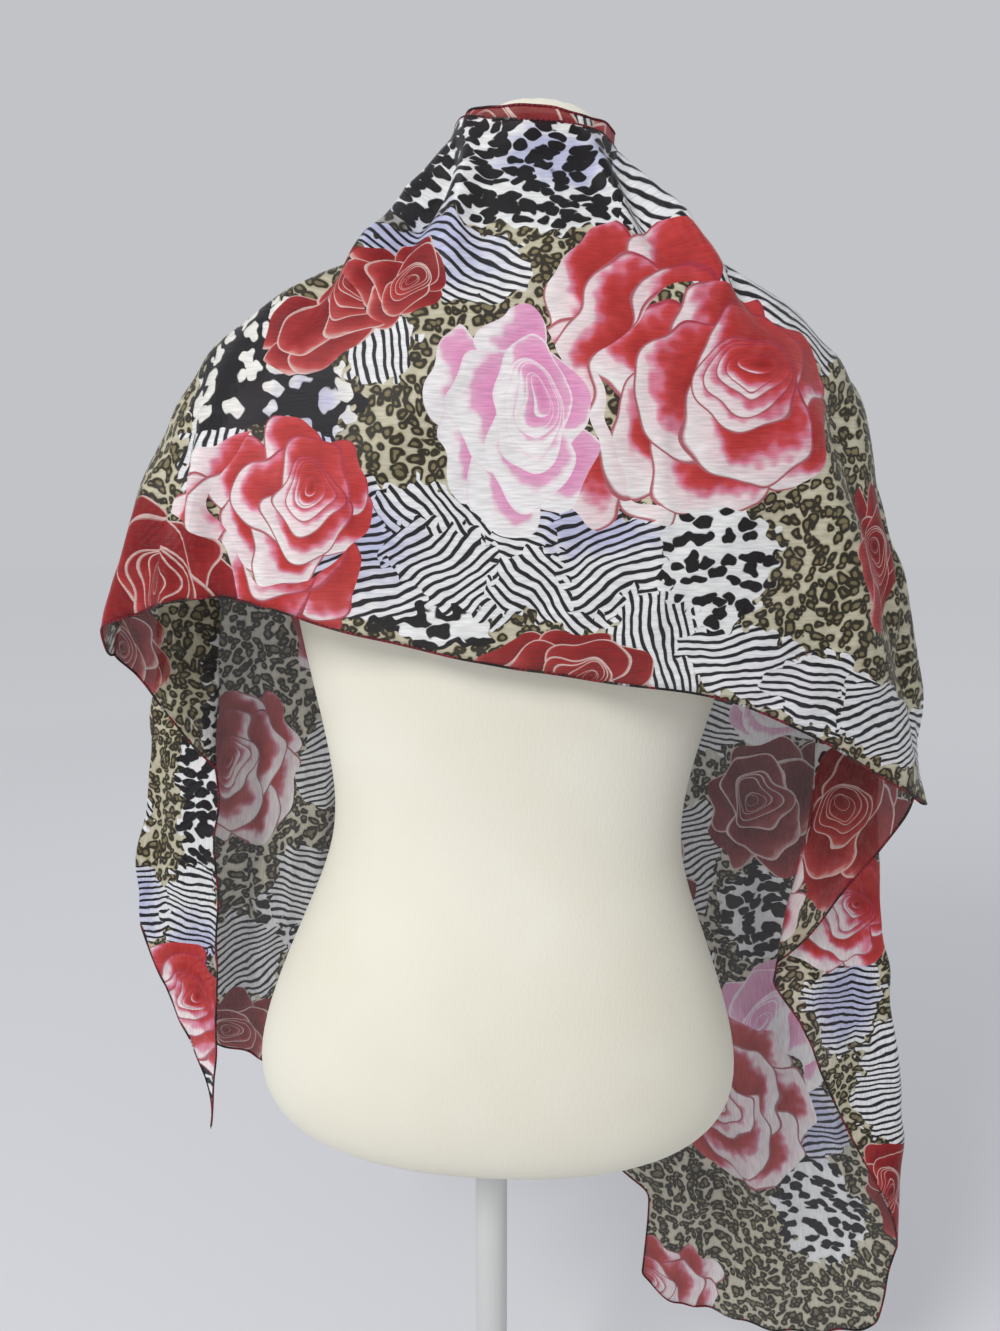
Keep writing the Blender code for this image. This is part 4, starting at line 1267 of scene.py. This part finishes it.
def rolled_hem(name, edge, closed):
    """A thin tube along a row of points, joined up with itself if it is closed."""
    loop = np.vstack([edge, edge[:1]]) if closed else edge
    reach = np.concatenate([[0], np.cumsum(np.linalg.norm(np.diff(loop, axis=0), axis=1))])
    rings = int(reach[-1] / HEM_STEP)
    at = np.linspace(0, reach[-1], rings + 1)
    path = np.stack([np.interp(at, reach, loop[:, n]) for n in range(3)], -1)
    if closed:
        path = path[:-1]
        ahead, behind = np.roll(path, -1, axis=0), np.roll(path, 1, axis=0)
        path = (path * 2 + ahead + behind) / 4
        along = np.roll(path, -1, axis=0) - np.roll(path, 1, axis=0)
    else:
        along = np.gradient(path, axis=0)
    along /= np.linalg.norm(along, axis=1, keepdims=True)
    side = np.cross(along, (0.31, 0.92, 0.24))
    side /= np.linalg.norm(side, axis=1, keepdims=True)
    third = np.cross(along, side)
    turns = np.arange(HEM_SIDES) * 2 * math.pi / HEM_SIDES
    outwards = np.cos(turns)[:, None] * side[:, None] + np.sin(turns)[:, None] * third[:, None]
    tube = path[:, None] + HEM_RADIUS * outwards
    ring = np.arange(len(path) * HEM_SIDES).reshape(len(path), HEM_SIDES)
    following = np.roll(ring, -1, axis=0) if closed else ring[1:]
    start = ring if closed else ring[:-1]
    faces = np.stack([start, np.roll(start, -1, axis=1), np.roll(following, -1, axis=1), following], -1)
    faces = faces.reshape(-1, 4)
    mesh = bpy.data.meshes.new(name)
    caps = [] if closed else [ring[0][::-1].tolist(), ring[-1].tolist()]
    mesh.from_pydata(tube.reshape(-1, 3).tolist(), [], faces.tolist() + caps)
    layer = mesh.uv_layers.new(name="along_hem")
    for face in mesh.polygons:
        for loop_index in face.loop_indices:
            vertex = mesh.loops[loop_index].vertex_index
            layer.data[loop_index].uv = (vertex // HEM_SIDES * HEM_STEP, vertex % HEM_SIDES / HEM_SIDES)
    mesh.shade_smooth()
    mesh.materials.append(hem_finish)
    hem = bpy.data.objects.new(name, mesh)
    bpy.context.collection.objects.link(hem)
    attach(hem, "root")
    return hem


left_turn, left_fall = panels["left_turn"], panels["left_fall"]
right_turn, right_fall = panels["right_turn"], panels["right_fall"]
edge_loop = np.concatenate([
    back_index[0], right_turn[0, 1:], right_fall[:LOWER_ROWS, 0][::-1], right_fall[0, 1:], right_fall[1:, -1],
    right_fall[-1, :-1][::-1], right_turn[-1, :-1][::-1], back_index[-1, :-1][::-1], left_turn[-1, 1:],
    left_fall[-1, 1:], left_fall[:-1, -1][::-1], left_fall[0, :-1][::-1], left_fall[1:LOWER_ROWS, 0],
    left_turn[0, 1:][::-1],
])
edge = points[edge_loop]
hem = rolled_hem("chiffon_rolled_hem", edge, closed=True)
neck_hem = rolled_hem("chiffon_neck_hem", border[-1], closed=False)
print("hem, m all round:", round(float(np.linalg.norm(np.diff(edge, axis=0), axis=1).sum()), 2))
